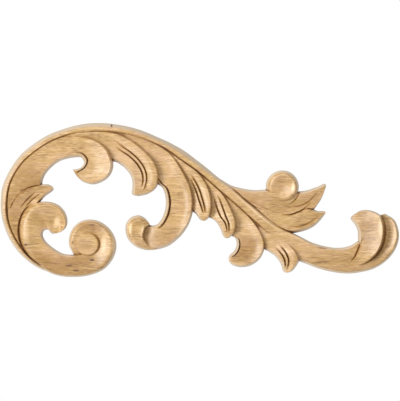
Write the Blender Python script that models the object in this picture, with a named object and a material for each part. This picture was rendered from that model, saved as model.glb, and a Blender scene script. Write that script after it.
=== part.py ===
"""Carved acanthus applique in beech: one solid relief with a flat back.

The carving hangs upright: +X runs along its length, +Z is up, and its flat back lies in the plane Y = 0.
The front faces -Y. The plan is drawn on a sheet whose grid has SHEET_SPAN squares along the length, with x
from the left end and y downwards, and every place and width on it is a share of the length. Heights of the
carving are shares of the depth, measured from the back.

Each stroke of the carving is a strip between a left and a right edge. A row of its table is one station
across it: left x, left y, left height, right x, right y, right height, from the root to the tip.
"""

import math

import bmesh
import bpy
import numpy as np

# Overall size in metres
LENGTH = 0.240
DEPTH = 0.014

# The drawing sheet
SHEET_SPAN = 399.2
SHEET_MIDDLE = (200.0, 199.9)
UNIT = LENGTH / SHEET_SPAN

# How finely a stroke is faceted
ROWS_PER_STATION = 2
FILL_STEPS = 2
DISC_SIDES = 28

# Rolled edges rounder than this have two facets, the others one
ROUND_POWER = 1.5

# How far each stroke reaches behind the back before the back is cut flat, in metres
BACK_ALLOWANCE = 0.002

# The narrowest gap between two columns of a stroke, as a share of its width
LEAST_STEP = 0.024

# How far each edge of a stroke stands outside its drawn line, in squares of the sheet
EDGE_MARGIN = 0.6

# The widest reach of a rolled edge, and of half a groove, as shares of the stroke's width
EDGE_SHARE = 0.42
GROOVE_SHARE = 0.1

# Edges steeper than this stay sharp in shading, in degrees
SHARP_ANGLE = 32.0

# The finish
BEECH_COLOUR = (0.66, 0.42, 0.22, 1.0)
BEECH_ROUGHNESS = 0.5


def place(x, y, height):
    """A point of the sheet, raised from the back by a share of the depth."""
    return (
        (x - SHEET_MIDDLE[0]) * UNIT,
        -height * DEPTH,
        (SHEET_MIDDLE[1] - y) * UNIT,
    )


def smooth_rows(stations, steps):
    """Rows at even steps along smooth curves through the stations."""
    rows = np.array(stations, dtype=float)
    ends = np.vstack([2 * rows[0] - rows[1], rows, 2 * rows[-1] - rows[-2]])
    result = []
    for index in range(len(rows) - 1):
        before, start, finish, after = ends[index:index + 4]
        for step in range(steps):
            t = step / steps
            result.append(0.5 * (
                2 * start
                + (finish - before) * t
                + (2 * before - 5 * start + 4 * finish - after) * t ** 2
                + (3 * start - before - 3 * finish + after) * t ** 3
            ))
    result.append(rows[-1])
    return np.array(result)


def rolled(*rows, power=1.3):
    """A rolled edge. Its rows say from which station on it has which width, and which share of the height
    its foot has. A power of 1 is a straight slope and a power of 2 a quarter round."""
    return {"rows": rows, "power": power, "steps": 2 if power > ROUND_POWER else 1}


def along(rows, station):
    """What a table says at a place along a stroke."""
    table = np.array(rows, dtype=float)
    return [float(np.interp(station, table[:, 0], table[:, column])) for column in range(1, table.shape[1])]


def edge_factor(edge, foot, distance, reach):
    """The share of the full height at a distance in from an edge."""
    f = min(max(distance / reach, 0.0), 1.0)
    rise = (1 - (1 - f) ** edge["power"]) ** (1 / edge["power"])
    return foot + (1 - foot) * rise


def flute(places, width, depth, start, end):
    """A V groove along a stroke: its shares across at both ends, its width and depth, and where it runs."""
    return {"places": places, "side": None, "half": width / 2, "depth": depth, "start": start, "end": end}


def fillet(side, distance, width, depth, start, end):
    """A V groove that keeps its distance from one edge of a stroke and leaves a narrow fillet beside it."""
    return {"places": (distance, distance), "side": side, "half": width / 2, "depth": depth, "start": start,
            "end": end}


def groove_place(groove, t, width):
    """Where a groove runs, as a share across a stroke of this width."""
    along = min(max((t - groove["start"]) / (groove["end"] - groove["start"]), 0.0), 1.0)
    first, last = groove["places"]
    place_here = first + (last - first) * along
    if groove["side"] == "left":
        return min(place_here / width, 0.5)
    if groove["side"] == "right":
        return max(1 - place_here / width, 0.5)
    return place_here


def groove_depth(groove, s, t, width):
    """How deep a groove is at a place on a stroke."""
    if t <= groove["start"] or t >= groove["end"]:
        return 0.0
    half = min(groove["half"] / width, GROOVE_SHARE)
    open_share = max(0.0, 1 - abs(s - groove_place(groove, t, width)) / half)
    along = (t - groove["start"]) / (groove["end"] - groove["start"])
    return groove["depth"] * open_share * math.sin(math.pi * along) ** 0.6


def bent(bends, station, s):
    """How far the face of a stroke is bent up or down at a place across it."""
    if not bends:
        return 0.0
    values = [0.0, *along(bends, station), 0.0]
    return float(np.interp(s, [0.0, 0.25, 0.5, 0.75, 1.0], values))


def stroke(stations, left, right, bends=(), grooves=(), end=None):
    """One strip of the carving as a closed mesh that reaches behind the back."""
    rows = smooth_rows(stations, ROWS_PER_STATION)
    middles = (rows[:, 0:2] + rows[:, 3:5]) / 2
    run = np.concatenate([[0.0], np.cumsum(np.linalg.norm(np.diff(middles, axis=0), axis=1))])
    last = len(stations) - 1
    tops = []
    for index, row in enumerate(rows):
        station = index / ROWS_PER_STATION
        tops.append(stroke_row(row, station, last, run[-1] - run[index], left, right, bends, grooves, end))
    return strip_mesh(tops)


def stroke_row(row, station, last, to_end, left, right, bends, grooves, end):
    """The points across a stroke at one row."""
    t = station / last
    across = row[3:5] - row[0:2]
    across /= max(float(np.linalg.norm(across)), 1e-6)
    foot_left = row[0:2] - across * EDGE_MARGIN
    foot_right = row[3:5] + across * EDGE_MARGIN
    width = float(np.linalg.norm(foot_right - foot_left))
    left_width, left_foot = along(left["rows"], station)
    right_width, right_foot = along(right["rows"], station)
    left_reach = min(left_width, EDGE_SHARE * width)
    right_reach = min(right_width, EDGE_SHARE * width)
    keys = [0.0, left_reach / width]
    steps = [left["steps"]]
    ordered = sorted(grooves, key=lambda groove: groove_place(groove, 0.5, width))
    for number, groove in enumerate(ordered):
        middle = groove_place(groove, t, width)
        half = min(groove["half"] / width, GROOVE_SHARE)
        keys += [middle - half, middle, middle + half]
        steps += [FILL_STEPS if number == 0 else 1, 1, 1]
    keys += [1 - right_reach / width, 1.0]
    steps += [FILL_STEPS, right["steps"]]
    points = []
    for s in subdivided(spread(keys), steps):
        height = row[2] + (row[5] - row[2]) * s + bent(bends, station, s)
        height -= sum(groove_depth(groove, s, t, width) for groove in grooves)
        height *= edge_factor(left, left_foot, s * width, left_reach)
        height *= edge_factor(right, right_foot, (1 - s) * width, right_reach)
        if end:
            end_width, end_foot = end["rows"][0][1:]
            height *= edge_factor(end, end_foot, to_end, end_width)
        x, y = foot_left + (foot_right - foot_left) * s
        points.append((x, y, height))
    return points


def subdivided(keys, steps):
    """Places across a stroke: each gap between the keys in its number of steps."""
    places = []
    for index, count in enumerate(steps):
        for step in range(count):
            places.append(keys[index] + (keys[index + 1] - keys[index]) * step / count)
    return places + [keys[-1]]


def spread(keys):
    """The same places in rising order, none closer than the least step."""
    last = len(keys) - 1
    result = []
    for index, key in enumerate(keys):
        low = index * LEAST_STEP
        high = 1 - (last - index) * LEAST_STEP
        key = min(max(key, low), high)
        if result:
            key = max(key, result[-1] + LEAST_STEP)
        result.append(min(key, high))
    return result


def strip_mesh(tops):
    """A closed mesh under rows of top points."""
    mesh = bmesh.new()
    upper = [[mesh.verts.new(place(*point)) for point in row] for row in tops]
    lower = []
    for row in tops:
        pair = []
        for x, y, _ in (row[0], row[-1]):
            corner = place(x, y, 0.0)
            pair.append(mesh.verts.new((corner[0], BACK_ALLOWANCE, corner[2])))
        lower.append(pair)
    for index in range(len(tops) - 1):
        here = upper[index]
        ahead = upper[index + 1]
        for column in range(len(here) - 1):
            mesh.faces.new((here[column], here[column + 1], ahead[column + 1], ahead[column]))
        mesh.faces.new((lower[index][1], lower[index][0], lower[index + 1][0], lower[index + 1][1]))
        mesh.faces.new((lower[index][0], here[0], ahead[0], lower[index + 1][0]))
        mesh.faces.new((here[-1], lower[index][1], lower[index + 1][1], ahead[-1]))
    mesh.faces.new([lower[0][0], lower[0][1]] + upper[0][::-1])
    mesh.faces.new([lower[-1][1], lower[-1][0]] + upper[-1])
    bmesh.ops.recalc_face_normals(mesh, faces=mesh.faces[:])
    return mesh


def button(centre, radius, edge, high, low=None, lean=(1.0, 0.0), dish=0.0, rings=4):
    """A round boss with a rolled edge, dished in its middle, that may lean towards one side."""
    low = high if low is None else low
    radius += EDGE_MARGIN
    edge_width, edge_foot = edge["rows"][0][1:]
    mesh = bmesh.new()
    circles = []
    radii = [radius, radius - 0.35 * edge_width, radius - edge_width]
    inner = radii[-1]
    radii += [inner * (1 - (step + 1) / rings) for step in range(rings - 1)]
    for r in radii:
        circle = []
        for side in range(DISC_SIDES):
            angle = 2 * math.pi * side / DISC_SIDES
            across = (math.cos(angle) * r, math.sin(angle) * r)
            share = 0.5 + 0.5 * (across[0] * lean[0] + across[1] * lean[1]) / radius
            height = low + (high - low) * share - dish * max(0.0, 1 - (r / inner) ** 2)
            height *= edge_factor(edge, edge_foot, radius - r, edge_width)
            circle.append(mesh.verts.new(place(centre[0] + across[0], centre[1] + across[1], height)))
        circles.append(circle)
    back = []
    for side in range(DISC_SIDES):
        rim = circles[0][side].co
        back.append(mesh.verts.new((rim.x, BACK_ALLOWANCE, rim.z)))
    for outer, inner_circle in zip([back] + circles, circles):
        for side in range(DISC_SIDES):
            other = (side + 1) % DISC_SIDES
            mesh.faces.new((outer[side], outer[other], inner_circle[other], inner_circle[side]))
    mesh.faces.new(circles[-1])
    mesh.faces.new(back[::-1])
    bmesh.ops.recalc_face_normals(mesh, faces=mesh.faces[:])
    return mesh


def outer_rim():
    """The rounded rim that frames the scroll and runs on as the stem to the lower right."""
    stations = [
        (54.0, 273.6, 0.40, 51.0, 269.5, 0.40),
        (45.4, 270.6, 0.46, 45.0, 267.0, 0.46),
        (37.8, 267.2, 0.52, 39.5, 264.4, 0.52),
        (28.2, 261.0, 0.58, 31.6, 258.7, 0.58),
        (17.9, 251.3, 0.54, 23.7, 250.9, 0.62),
        (9.2, 238.3, 0.51, 15.5, 239.2, 0.64),
        (3.7, 224.2, 0.50, 9.4, 224.8, 0.65),
        (1.1, 212.0, 0.50, 6.7, 212.0, 0.65),
        (0.8, 200.0, 0.50, 7.0, 201.0, 0.65),
        (2.0, 189.0, 0.50, 8.6, 190.0, 0.65),
        (5.4, 179.0, 0.50, 12.4, 179.2, 0.65),
        (11.5, 167.7, 0.50, 18.8, 168.0, 0.65),
        (20.3, 155.6, 0.50, 27.3, 158.2, 0.65),
        (32.7, 145.0, 0.50, 38.7, 149.4, 0.65),
        (47.0, 135.9, 0.50, 51.6, 141.4, 0.65),
        (61.2, 130.2, 0.52, 63.7, 136.5, 0.65),
        (75.3, 126.0, 0.54, 77.0, 132.9, 0.64),
        (90.0, 123.7, 0.56, 91.0, 131.7, 0.64),
        (106.0, 123.7, 0.58, 105.0, 131.7, 0.64),
        (124.0, 126.2, 0.60, 121.0, 133.0, 0.63),
        (141.0, 130.8, 0.64, 137.8, 137.0, 0.62),
        (158.0, 137.9, 0.64, 154.4, 143.6, 0.62),
        (171.0, 143.9, 0.64, 167.8, 150.6, 0.62),
        (184.0, 151.3, 0.64, 179.8, 159.4, 0.62),
        (195.0, 159.5, 0.66, 191.0, 167.0, 0.64),
        (206.0, 168.0, 0.66, 202.0, 175.4, 0.64),
        (216.5, 176.8, 0.68, 213.0, 184.9, 0.66),
        (226.5, 184.3, 0.70, 223.0, 193.7, 0.66),
        (235.0, 190.8, 0.72, 231.6, 200.9, 0.66),
        (245.0, 200.0, 0.72, 241.5, 209.6, 0.66),
        (254.0, 207.4, 0.72, 250.0, 217.4, 0.66),
        (264.0, 216.2, 0.68, 259.0, 225.4, 0.66),
        (272.0, 222.4, 0.66, 266.0, 231.4, 0.64),
        (280.0, 227.4, 0.62, 273.0, 236.8, 0.60),
        (288.0, 231.4, 0.50, 281.0, 241.0, 0.50),
    ]
    outer = rolled((0, 3.4, 0.10), (3, 4.2, 0.10), (12, 4.6, 0.10), (20, 4.8, 0.10), (23, 4.4, 0.12),
                   (27, 2.4, 0.40), (36, 2.0, 0.55), power=1.12)
    inner = rolled((0, 2.0, 0.62), (14, 2.0, 0.62), (16, 2.8, 0.84), (19, 2.4, 0.84), (21, 2.0, 0.70),
                   (36, 2.0, 0.66), power=1.2)
    return stroke(stations, outer, inner)


def first_curl():
    """The body of the scroll and the leaf that grows from it over the top and curls in at its end."""
    stations = [
        (7.4, 222.0, 0.40, 26.0, 213.0, 0.26),
        (6.2, 210.0, 0.50, 34.0, 203.0, 0.30),
        (6.6, 197.0, 0.55, 40.4, 191.0, 0.36),
        (9.6, 183.0, 0.58, 41.8, 180.6, 0.48),
        (15.8, 169.8, 0.60, 45.2, 173.2, 0.56),
        (24.6, 158.8, 0.60, 50.8, 166.8, 0.58),
        (36.4, 149.2, 0.60, 58.2, 161.2, 0.60),
        (53.0, 139.6, 0.60, 66.2, 158.2, 0.60),
        (70.0, 135.8, 0.60, 74.0, 156.8, 0.60),
        (86.0, 136.9, 0.62, 80.2, 156.6, 0.60),
        (97.0, 140.4, 0.72, 83.2, 159.2, 0.60),
        (105.6, 147.2, 0.82, 84.4, 162.2, 0.60),
        (110.6, 156.0, 0.88, 83.3, 165.2, 0.60),
        (112.6, 165.0, 0.90, 81.3, 167.4, 0.60),
        (110.2, 173.6, 0.88, 79.0, 168.7, 0.60),
        (104.0, 180.0, 0.84, 77.0, 169.3, 0.58),
        (93.5, 184.0, 0.76, 75.4, 169.6, 0.55),
        (83.2, 181.6, 0.66, 74.9, 169.7, 0.52),
        (77.0, 176.4, 0.60, 74.2, 169.8, 0.50),
        (74.4, 172.8, 0.54, 73.1, 169.9, 0.50),
    ]
    beside = fillet("right", 4.2, 2.6, 0.18, 0.42, 0.90)
    bends = [(0, 0, 0, 0), (8, -0.01, -0.02, -0.02), (10, -0.05, -0.10, -0.08), (14, -0.09, -0.16, -0.12),
             (17, -0.06, -0.10, -0.07), (19, 0, 0, 0)]
    left = rolled((0, 1.8, 0.62), (8, 1.8, 0.66), (10, 2.6, 0.30), (19, 2.8, 0.30))
    right = rolled((0, 2.8, 0.25), (8, 2.6, 0.25), (19, 2.2, 0.35))
    return stroke(stations, left, right, bends, [beside])


def small_leaf():
    """The small leaf that stands out to the right from the lower left of the scroll."""
    stations = [
        (32.0, 259.4, 0.46, 35.0, 258.6, 0.44),
        (24.0, 251.4, 0.50, 29.0, 249.4, 0.44),
        (16.2, 240.6, 0.54, 24.4, 239.4, 0.42),
        (10.4, 228.8, 0.56, 22.6, 229.5, 0.42),
        (7.4, 217.0, 0.57, 24.4, 219.0, 0.42),
        (8.2, 207.6, 0.56, 30.0, 211.0, 0.42),
        (12.8, 200.2, 0.60, 35.4, 206.0, 0.44),
        (19.0, 193.4, 0.64, 38.6, 202.4, 0.46),
        (26.6, 188.6, 0.66, 41.4, 199.2, 0.48),
        (34.6, 186.0, 0.66, 44.8, 195.6, 0.50),
        (42.0, 184.9, 0.64, 48.4, 193.0, 0.52),
        (48.4, 184.9, 0.60, 51.4, 191.0, 0.54),
        (52.4, 186.8, 0.56, 53.3, 189.2, 0.56),
    ]
    flutes = [flute((0.55, 0.22), 2.2, 0.15, 0.36, 0.72), flute((0.84, 0.48), 2.2, 0.15, 0.38, 0.80)]
    left = rolled((0, 1.8, 0.70), (8, 1.8, 0.60), (10, 2.2, 0.40))
    right = rolled((0, 2.0, 0.40))
    return stroke(stations, left, right, [(0, 0.0, -0.02, -0.02), (12, 0.0, -0.02, -0.01)], flutes)


def volute_band():
    """The band that winds out round the eye of the volute."""
    stations = [
        (77.0, 258.0, 0.44, 84.0, 250.5, 0.50),
        (72.2, 251.2, 0.60, 82.4, 248.0, 0.50),
        (69.5, 244.2, 0.70, 81.6, 245.0, 0.52),
        (69.9, 236.4, 0.74, 82.0, 241.6, 0.54),
        (73.6, 228.1, 0.74, 83.6, 239.4, 0.55),
        (80.8, 222.0, 0.72, 85.6, 238.2, 0.56),
        (90.0, 220.1, 0.72, 88.6, 237.6, 0.54),
        (99.0, 222.0, 0.74, 91.4, 238.2, 0.48),
        (107.0, 227.3, 0.78, 93.4, 239.6, 0.44),
        (112.6, 234.6, 0.82, 94.6, 241.6, 0.42),
        (115.4, 243.0, 0.84, 95.0, 244.2, 0.41),
        (114.8, 252.0, 0.82, 94.6, 247.0, 0.41),
        (110.9, 260.7, 0.76, 93.2, 249.8, 0.43),
        (104.0, 268.4, 0.68, 91.0, 252.0, 0.47),
        (95.0, 273.0, 0.60, 87.6, 252.8, 0.50),
        (85.0, 275.6, 0.46, 82.0, 252.6, 0.44),
    ]
    bends = [(0, 0.0, 0.0, 0.0), (3, 0.0, 0.0, 0.04), (6, 0.02, 0.02, 0.04), (8, 0.07, 0.06, 0.04),
             (10, 0.08, 0.075, 0.05), (12, 0.06, 0.06, 0.05), (15, 0.0, 0.0, 0.0)]
    outer = rolled((0, 5.0, 0.50), (5, 5.0, 0.45), (12, 5.0, 0.45), (15, 3.6, 0.4), power=1.8)
    inner = rolled((0, 0.6, 0.97))
    return stroke(stations, outer, inner, bends)


def lower_lobe():
    """The leaf that runs from the volute round the bottom left and curls in to a rounded bulb."""
    stations = [
        (104.0, 266.0, 0.40, 93.0, 254.4, 0.36),
        (95.0, 272.8, 0.57, 87.8, 253.6, 0.49),
        (84.0, 275.8, 0.58, 80.6, 254.4, 0.58),
        (73.0, 276.5, 0.56, 71.6, 255.4, 0.58),
        (61.5, 275.8, 0.55, 62.5, 254.2, 0.57),
        (49.6, 272.2, 0.55, 55.0, 250.2, 0.56),
        (39.6, 265.0, 0.60, 48.6, 245.4, 0.56),
        (31.2, 258.6, 0.66, 44.4, 241.0, 0.56),
        (25.2, 250.8, 0.74, 42.2, 236.8, 0.55),
        (21.6, 242.6, 0.78, 42.0, 233.2, 0.58),
        (19.8, 233.6, 0.79, 43.2, 231.0, 0.61),
        (19.9, 224.6, 0.80, 45.0, 229.7, 0.62),
        (22.2, 216.6, 0.80, 46.7, 229.3, 0.61),
        (26.6, 209.8, 0.82, 48.0, 229.6, 0.59),
        (33.6, 204.4, 0.82, 49.0, 230.5, 0.56),
        (42.0, 202.2, 0.84, 49.8, 231.5, 0.58),
        (50.8, 202.7, 0.84, 50.5, 232.2, 0.60),
        (58.8, 206.2, 0.84, 51.3, 232.8, 0.60),
        (64.4, 212.7, 0.84, 52.2, 233.1, 0.60),
        (66.7, 220.6, 0.84, 53.2, 233.3, 0.60),
        (65.3, 227.5, 0.80, 54.2, 233.4, 0.58),
        (60.6, 231.8, 0.72, 55.2, 233.4, 0.55),
        (56.6, 233.2, 0.56, 55.8, 233.4, 0.54),
    ]
    outer = rolled((0, 3.4, 0.40), (3, 3.4, 0.35), (6, 3.0, 0.55), (8, 11.0, 0.50), (12, 12.0, 0.46),
                   (14, 6.0, 0.45), (17, 3.6, 0.36), (22, 2.6, 0.45), power=1.8)
    inner = rolled((0, 2.4, 0.35), (15, 2.2, 0.40), (22, 2.0, 0.50))
    bends = [(0, 0.0, 0.0, 0.0), (8, 0.0, -0.02, -0.01), (12, 0.02, 0.0, 0.0), (15, -0.06, -0.12, -0.08),
             (17, -0.12, -0.20, -0.14), (19, -0.12, -0.20, -0.12), (21, -0.05, -0.10, -0.05),
             (22, 0.0, 0.0, 0.0)]
    return stroke(stations, outer, inner, bends)


def volute_eye():
    """The round eye of the volute."""
    edge = rolled((0, 2.4, 0.35), power=1.8)
    return button((87.4, 244.4), 11.9, edge, 0.745, 0.60, lean=(0.45, -0.9), dish=0.02)


def second_leaf():
    """The broad fluted leaf with a blunt end that hangs beside the first curl."""
    stations = [
        (66.0, 142.0, 0.46, 63.0, 136.2, 0.56),
        (78.0, 142.0, 0.44, 76.0, 132.8, 0.60),
        (90.0, 144.0, 0.44, 90.0, 131.5, 0.61),
        (100.0, 148.0, 0.44, 104.0, 131.4, 0.62),
        (106.0, 154.0, 0.44, 118.0, 134.0, 0.65),
        (110.4, 160.0, 0.48, 131.0, 140.4, 0.68),
        (117.0, 162.0, 0.52, 140.0, 147.2, 0.74),
        (124.2, 166.7, 0.56, 147.6, 154.4, 0.80),
        (129.0, 172.2, 0.58, 153.4, 161.2, 0.84),
        (132.1, 177.7, 0.60, 157.0, 168.5, 0.86),
        (132.9, 183.2, 0.60, 158.5, 176.0, 0.86),
        (132.8, 188.2, 0.60, 157.4, 183.4, 0.82),
        (132.2, 193.0, 0.58, 155.9, 187.4, 0.76),
        (134.4, 195.2, 0.56, 152.6, 190.9, 0.68),
        (139.4, 196.1, 0.54, 146.4, 194.6, 0.60),
    ]
    flutes = [flute((0.50, 0.38), 2.4, 0.16, 0.32, 0.80), flute((0.66, 0.50), 2.4, 0.16, 0.28, 0.86)]
    bends = [(0, 0.0, 0.0, 0.0), (6, -0.02, -0.02, 0.04), (11, -0.01, 0.0, 0.07), (14, 0.0, 0.0, 0.04)]
    left = rolled((0, 3.2, 0.25))
    right = rolled((0, 1.4, 0.78), (4, 1.6, 0.58), (14, 2.2, 0.35))
    end = rolled((0, 2.4, 0.40))
    return stroke(stations, left, right, bends, flutes, end)


def great_hook():
    """The great leaf that sweeps down and turns in to the left, up to its knob."""
    stations = [
        (104.0, 139.0, 0.44, 104.0, 132.0, 0.52),
        (116.0, 140.0, 0.44, 119.0, 132.4, 0.56),
        (126.0, 145.0, 0.44, 134.0, 135.6, 0.60),
        (136.0, 151.0, 0.44, 149.0, 141.0, 0.62),
        (144.0, 159.0, 0.46, 162.0, 147.4, 0.66),
        (150.0, 168.0, 0.48, 172.6, 156.0, 0.70),
        (153.0, 177.0, 0.48, 181.0, 168.8, 0.78),
        (157.6, 183.6, 0.52, 187.3, 180.3, 0.80),
        (163.0, 188.0, 0.58, 190.9, 189.4, 0.82),
        (165.6, 195.2, 0.60, 192.7, 199.0, 0.83),
        (166.4, 203.0, 0.60, 192.7, 207.8, 0.82),
        (165.3, 211.1, 0.60, 190.7, 218.0, 0.80),
        (162.6, 218.0, 0.60, 186.5, 227.3, 0.76),
        (159.0, 223.4, 0.60, 179.5, 236.5, 0.72),
        (155.5, 225.6, 0.56, 169.0, 245.0, 0.68),
        (152.6, 226.1, 0.52, 157.0, 249.0, 0.62),
        (149.4, 225.4, 0.44, 146.0, 249.6, 0.54),
        (145.0, 222.0, 0.40, 139.0, 247.6, 0.46),
    ]
    beside = fillet("left", 4.4, 2.8, 0.22, 0.36, 0.82)
    bends = [(0, 0.0, 0.0, 0.0), (5, -0.04, -0.08, -0.09), (8, -0.05, -0.11, -0.14),
             (11, -0.05, -0.10, -0.12), (14, 0.0, 0.0, 0.0)]
    left = rolled((0, 2.6, 0.25))
    right = rolled((0, 1.4, 0.78), (4, 1.6, 0.58), (9, 2.0, 0.35), (17, 3.0, 0.30))
    return stroke(stations, left, right, bends, [beside])


def hook_knob():
    """The rounded knob at the end of the great hook."""
    stations = [
        (148.0, 221.6, 0.50, 149.8, 224.6, 0.50),
        (143.5, 217.6, 0.62, 147.0, 226.0, 0.66),
        (138.0, 215.8, 0.74, 145.0, 228.0, 0.78),
        (131.0, 218.0, 0.84, 143.8, 230.5, 0.84),
        (126.8, 223.5, 0.86, 143.0, 233.0, 0.82),
        (125.9, 230.0, 0.88, 142.8, 235.5, 0.82),
        (127.8, 237.8, 0.86, 143.2, 238.0, 0.80),
        (132.5, 243.7, 0.82, 144.5, 240.8, 0.80),
        (139.0, 247.8, 0.72, 146.8, 243.6, 0.72),
        (147.0, 249.6, 0.60, 150.4, 246.4, 0.62),
        (156.0, 249.3, 0.50, 157.0, 248.2, 0.52),
    ]
    bends = [(0, 0.0, 0.0, 0.0), (3, 0.0, -0.05, -0.04), (6, 0.0, -0.06, -0.05), (10, 0.0, 0.0, 0.0)]
    return stroke(stations, rolled((0, 7.5, 0.30), power=2.0), rolled((0, 1.4, 0.66)), bends)


def third_leaf():
    """The first of the two slender fluted leaves below the stem."""
    stations = [
        (164.0, 154.0, 0.48, 167.0, 150.0, 0.56),
        (172.0, 164.0, 0.46, 178.0, 157.8, 0.60),
        (179.0, 175.0, 0.46, 188.4, 165.0, 0.62),
        (184.0, 186.0, 0.46, 198.0, 172.2, 0.66),
        (187.0, 196.0, 0.46, 205.6, 182.6, 0.72),
        (189.0, 204.0, 0.46, 209.8, 193.5, 0.82),
        (192.4, 210.4, 0.50, 211.3, 202.5, 0.86),
        (195.4, 213.0, 0.56, 211.0, 210.0, 0.86),
        (198.3, 216.5, 0.60, 209.3, 216.0, 0.80),
        (200.5, 219.6, 0.58, 207.0, 219.2, 0.70),
        (202.6, 220.8, 0.54, 204.2, 220.9, 0.58),
    ]
    flutes = [flute((0.46, 0.48), 2.4, 0.19, 0.30, 0.74), flute((0.62, 0.62), 2.4, 0.20, 0.28, 0.74)]
    bends = [(0, 0.0, 0.0, 0.0), (4, -0.02, 0.0, 0.04), (7, 0.0, 0.02, 0.06), (10, 0.0, 0.0, 0.0)]
    left = rolled((0, 2.2, 0.35))
    right = rolled((0, 1.2, 0.78), (3, 1.6, 0.56), (10, 2.2, 0.35))
    return stroke(stations, left, right, bends, flutes)


def fourth_leaf():
    """The second slender fluted leaf."""
    stations = [
        (190.0, 171.0, 0.48, 194.0, 169.0, 0.56),
        (198.0, 181.0, 0.46, 205.0, 177.6, 0.60),
        (203.0, 191.0, 0.46, 215.0, 186.2, 0.62),
        (205.6, 201.0, 0.46, 224.0, 195.6, 0.64),
        (207.0, 210.0, 0.46, 230.4, 207.8, 0.72),
        (209.8, 217.2, 0.50, 234.0, 216.3, 0.82),
        (215.0, 220.4, 0.56, 235.7, 223.5, 0.86),
        (219.0, 225.4, 0.58, 235.2, 229.8, 0.84),
        (221.7, 231.0, 0.58, 233.0, 234.2, 0.76),
        (223.3, 235.4, 0.56, 229.8, 236.9, 0.66),
        (225.2, 238.0, 0.54, 227.2, 238.3, 0.58),
    ]
    flutes = [flute((0.44, 0.48), 2.4, 0.19, 0.30, 0.80), flute((0.70, 0.60), 2.4, 0.20, 0.28, 0.80)]
    bends = [(0, 0.0, 0.0, 0.0), (4, -0.02, 0.0, 0.04), (7, 0.0, 0.02, 0.06), (10, 0.0, 0.0, 0.0)]
    left = rolled((0, 2.4, 0.30))
    right = rolled((0, 1.2, 0.78), (3, 1.6, 0.56), (10, 2.2, 0.35))
    return stroke(stations, left, right, bends, flutes)


def small_hook():
    """The smaller hooked leaf that turns in to the left below the stem."""
    stations = [
        (208.0, 188.0, 0.48, 213.0, 184.4, 0.56),
        (218.0, 199.0, 0.46, 226.0, 195.6, 0.60),
        (226.0, 210.0, 0.46, 238.0, 206.2, 0.62),
        (229.6, 220.0, 0.46, 249.0, 216.6, 0.64),
        (230.6, 229.0, 0.46, 257.0, 226.6, 0.74),
        (232.2, 235.4, 0.52, 262.4, 236.5, 0.80),
        (235.8, 238.4, 0.58, 264.3, 245.0, 0.81),
        (237.1, 242.2, 0.60, 262.6, 252.8, 0.78),
        (237.0, 246.0, 0.60, 258.0, 260.2, 0.72),
        (235.7, 249.7, 0.60, 250.0, 265.3, 0.68),
        (233.6, 252.5, 0.58, 241.5, 266.8, 0.70),
        (231.2, 254.5, 0.56, 234.0, 265.4, 0.66),
        (229.4, 256.7, 0.54, 229.8, 262.2, 0.60),
        (228.7, 258.4, 0.52, 228.8, 259.8, 0.54),
    ]
    beside = fillet("left", 3.6, 2.2, 0.18, 0.40, 0.84)
    bends = [(0, 0.0, 0.0, 0.0), (4, -0.03, -0.07, -0.08), (6, -0.04, -0.10, -0.13),
             (9, -0.03, -0.06, -0.07), (13, 0.0, 0.0, 0.0)]
    left = rolled((0, 2.4, 0.25))
    right = rolled((0, 1.2, 0.78), (3, 1.6, 0.58), (6, 2.0, 0.35), (13, 2.8, 0.30))
    return stroke(stations, left, right, bends, [beside])


def last_leaf():
    """The short fluted leaf where the stem widens."""
    stations = [
        (246.0, 220.0, 0.48, 252.0, 218.4, 0.54),
        (255.0, 232.0, 0.46, 265.0, 228.0, 0.58),
        (260.6, 243.0, 0.46, 278.0, 236.0, 0.60),
        (265.0, 249.0, 0.50, 287.0, 242.6, 0.62),
        (270.0, 251.8, 0.54, 292.8, 248.2, 0.72),
        (275.6, 256.0, 0.58, 296.8, 254.0, 0.80),
        (279.6, 260.8, 0.58, 298.6, 259.6, 0.80),
        (282.2, 266.0, 0.58, 296.6, 265.0, 0.74),
        (283.5, 270.5, 0.56, 292.0, 270.8, 0.66),
        (285.3, 272.6, 0.54, 287.6, 272.8, 0.58),
    ]
    flutes = [flute((0.48, 0.20), 2.4, 0.19, 0.18, 0.88), flute((0.74, 0.38), 2.4, 0.20, 0.16, 0.86)]
    bends = [(0, 0.0, 0.0, 0.0), (4, 0.0, 0.0, 0.04), (6, 0.0, 0.02, 0.07), (9, 0.0, 0.0, 0.0)]
    left = rolled((0, 2.8, 0.30))
    right = rolled((0, 1.4, 0.78), (3, 1.6, 0.58), (9, 2.4, 0.35))
    return stroke(stations, left, right, bends, flutes)


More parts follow.
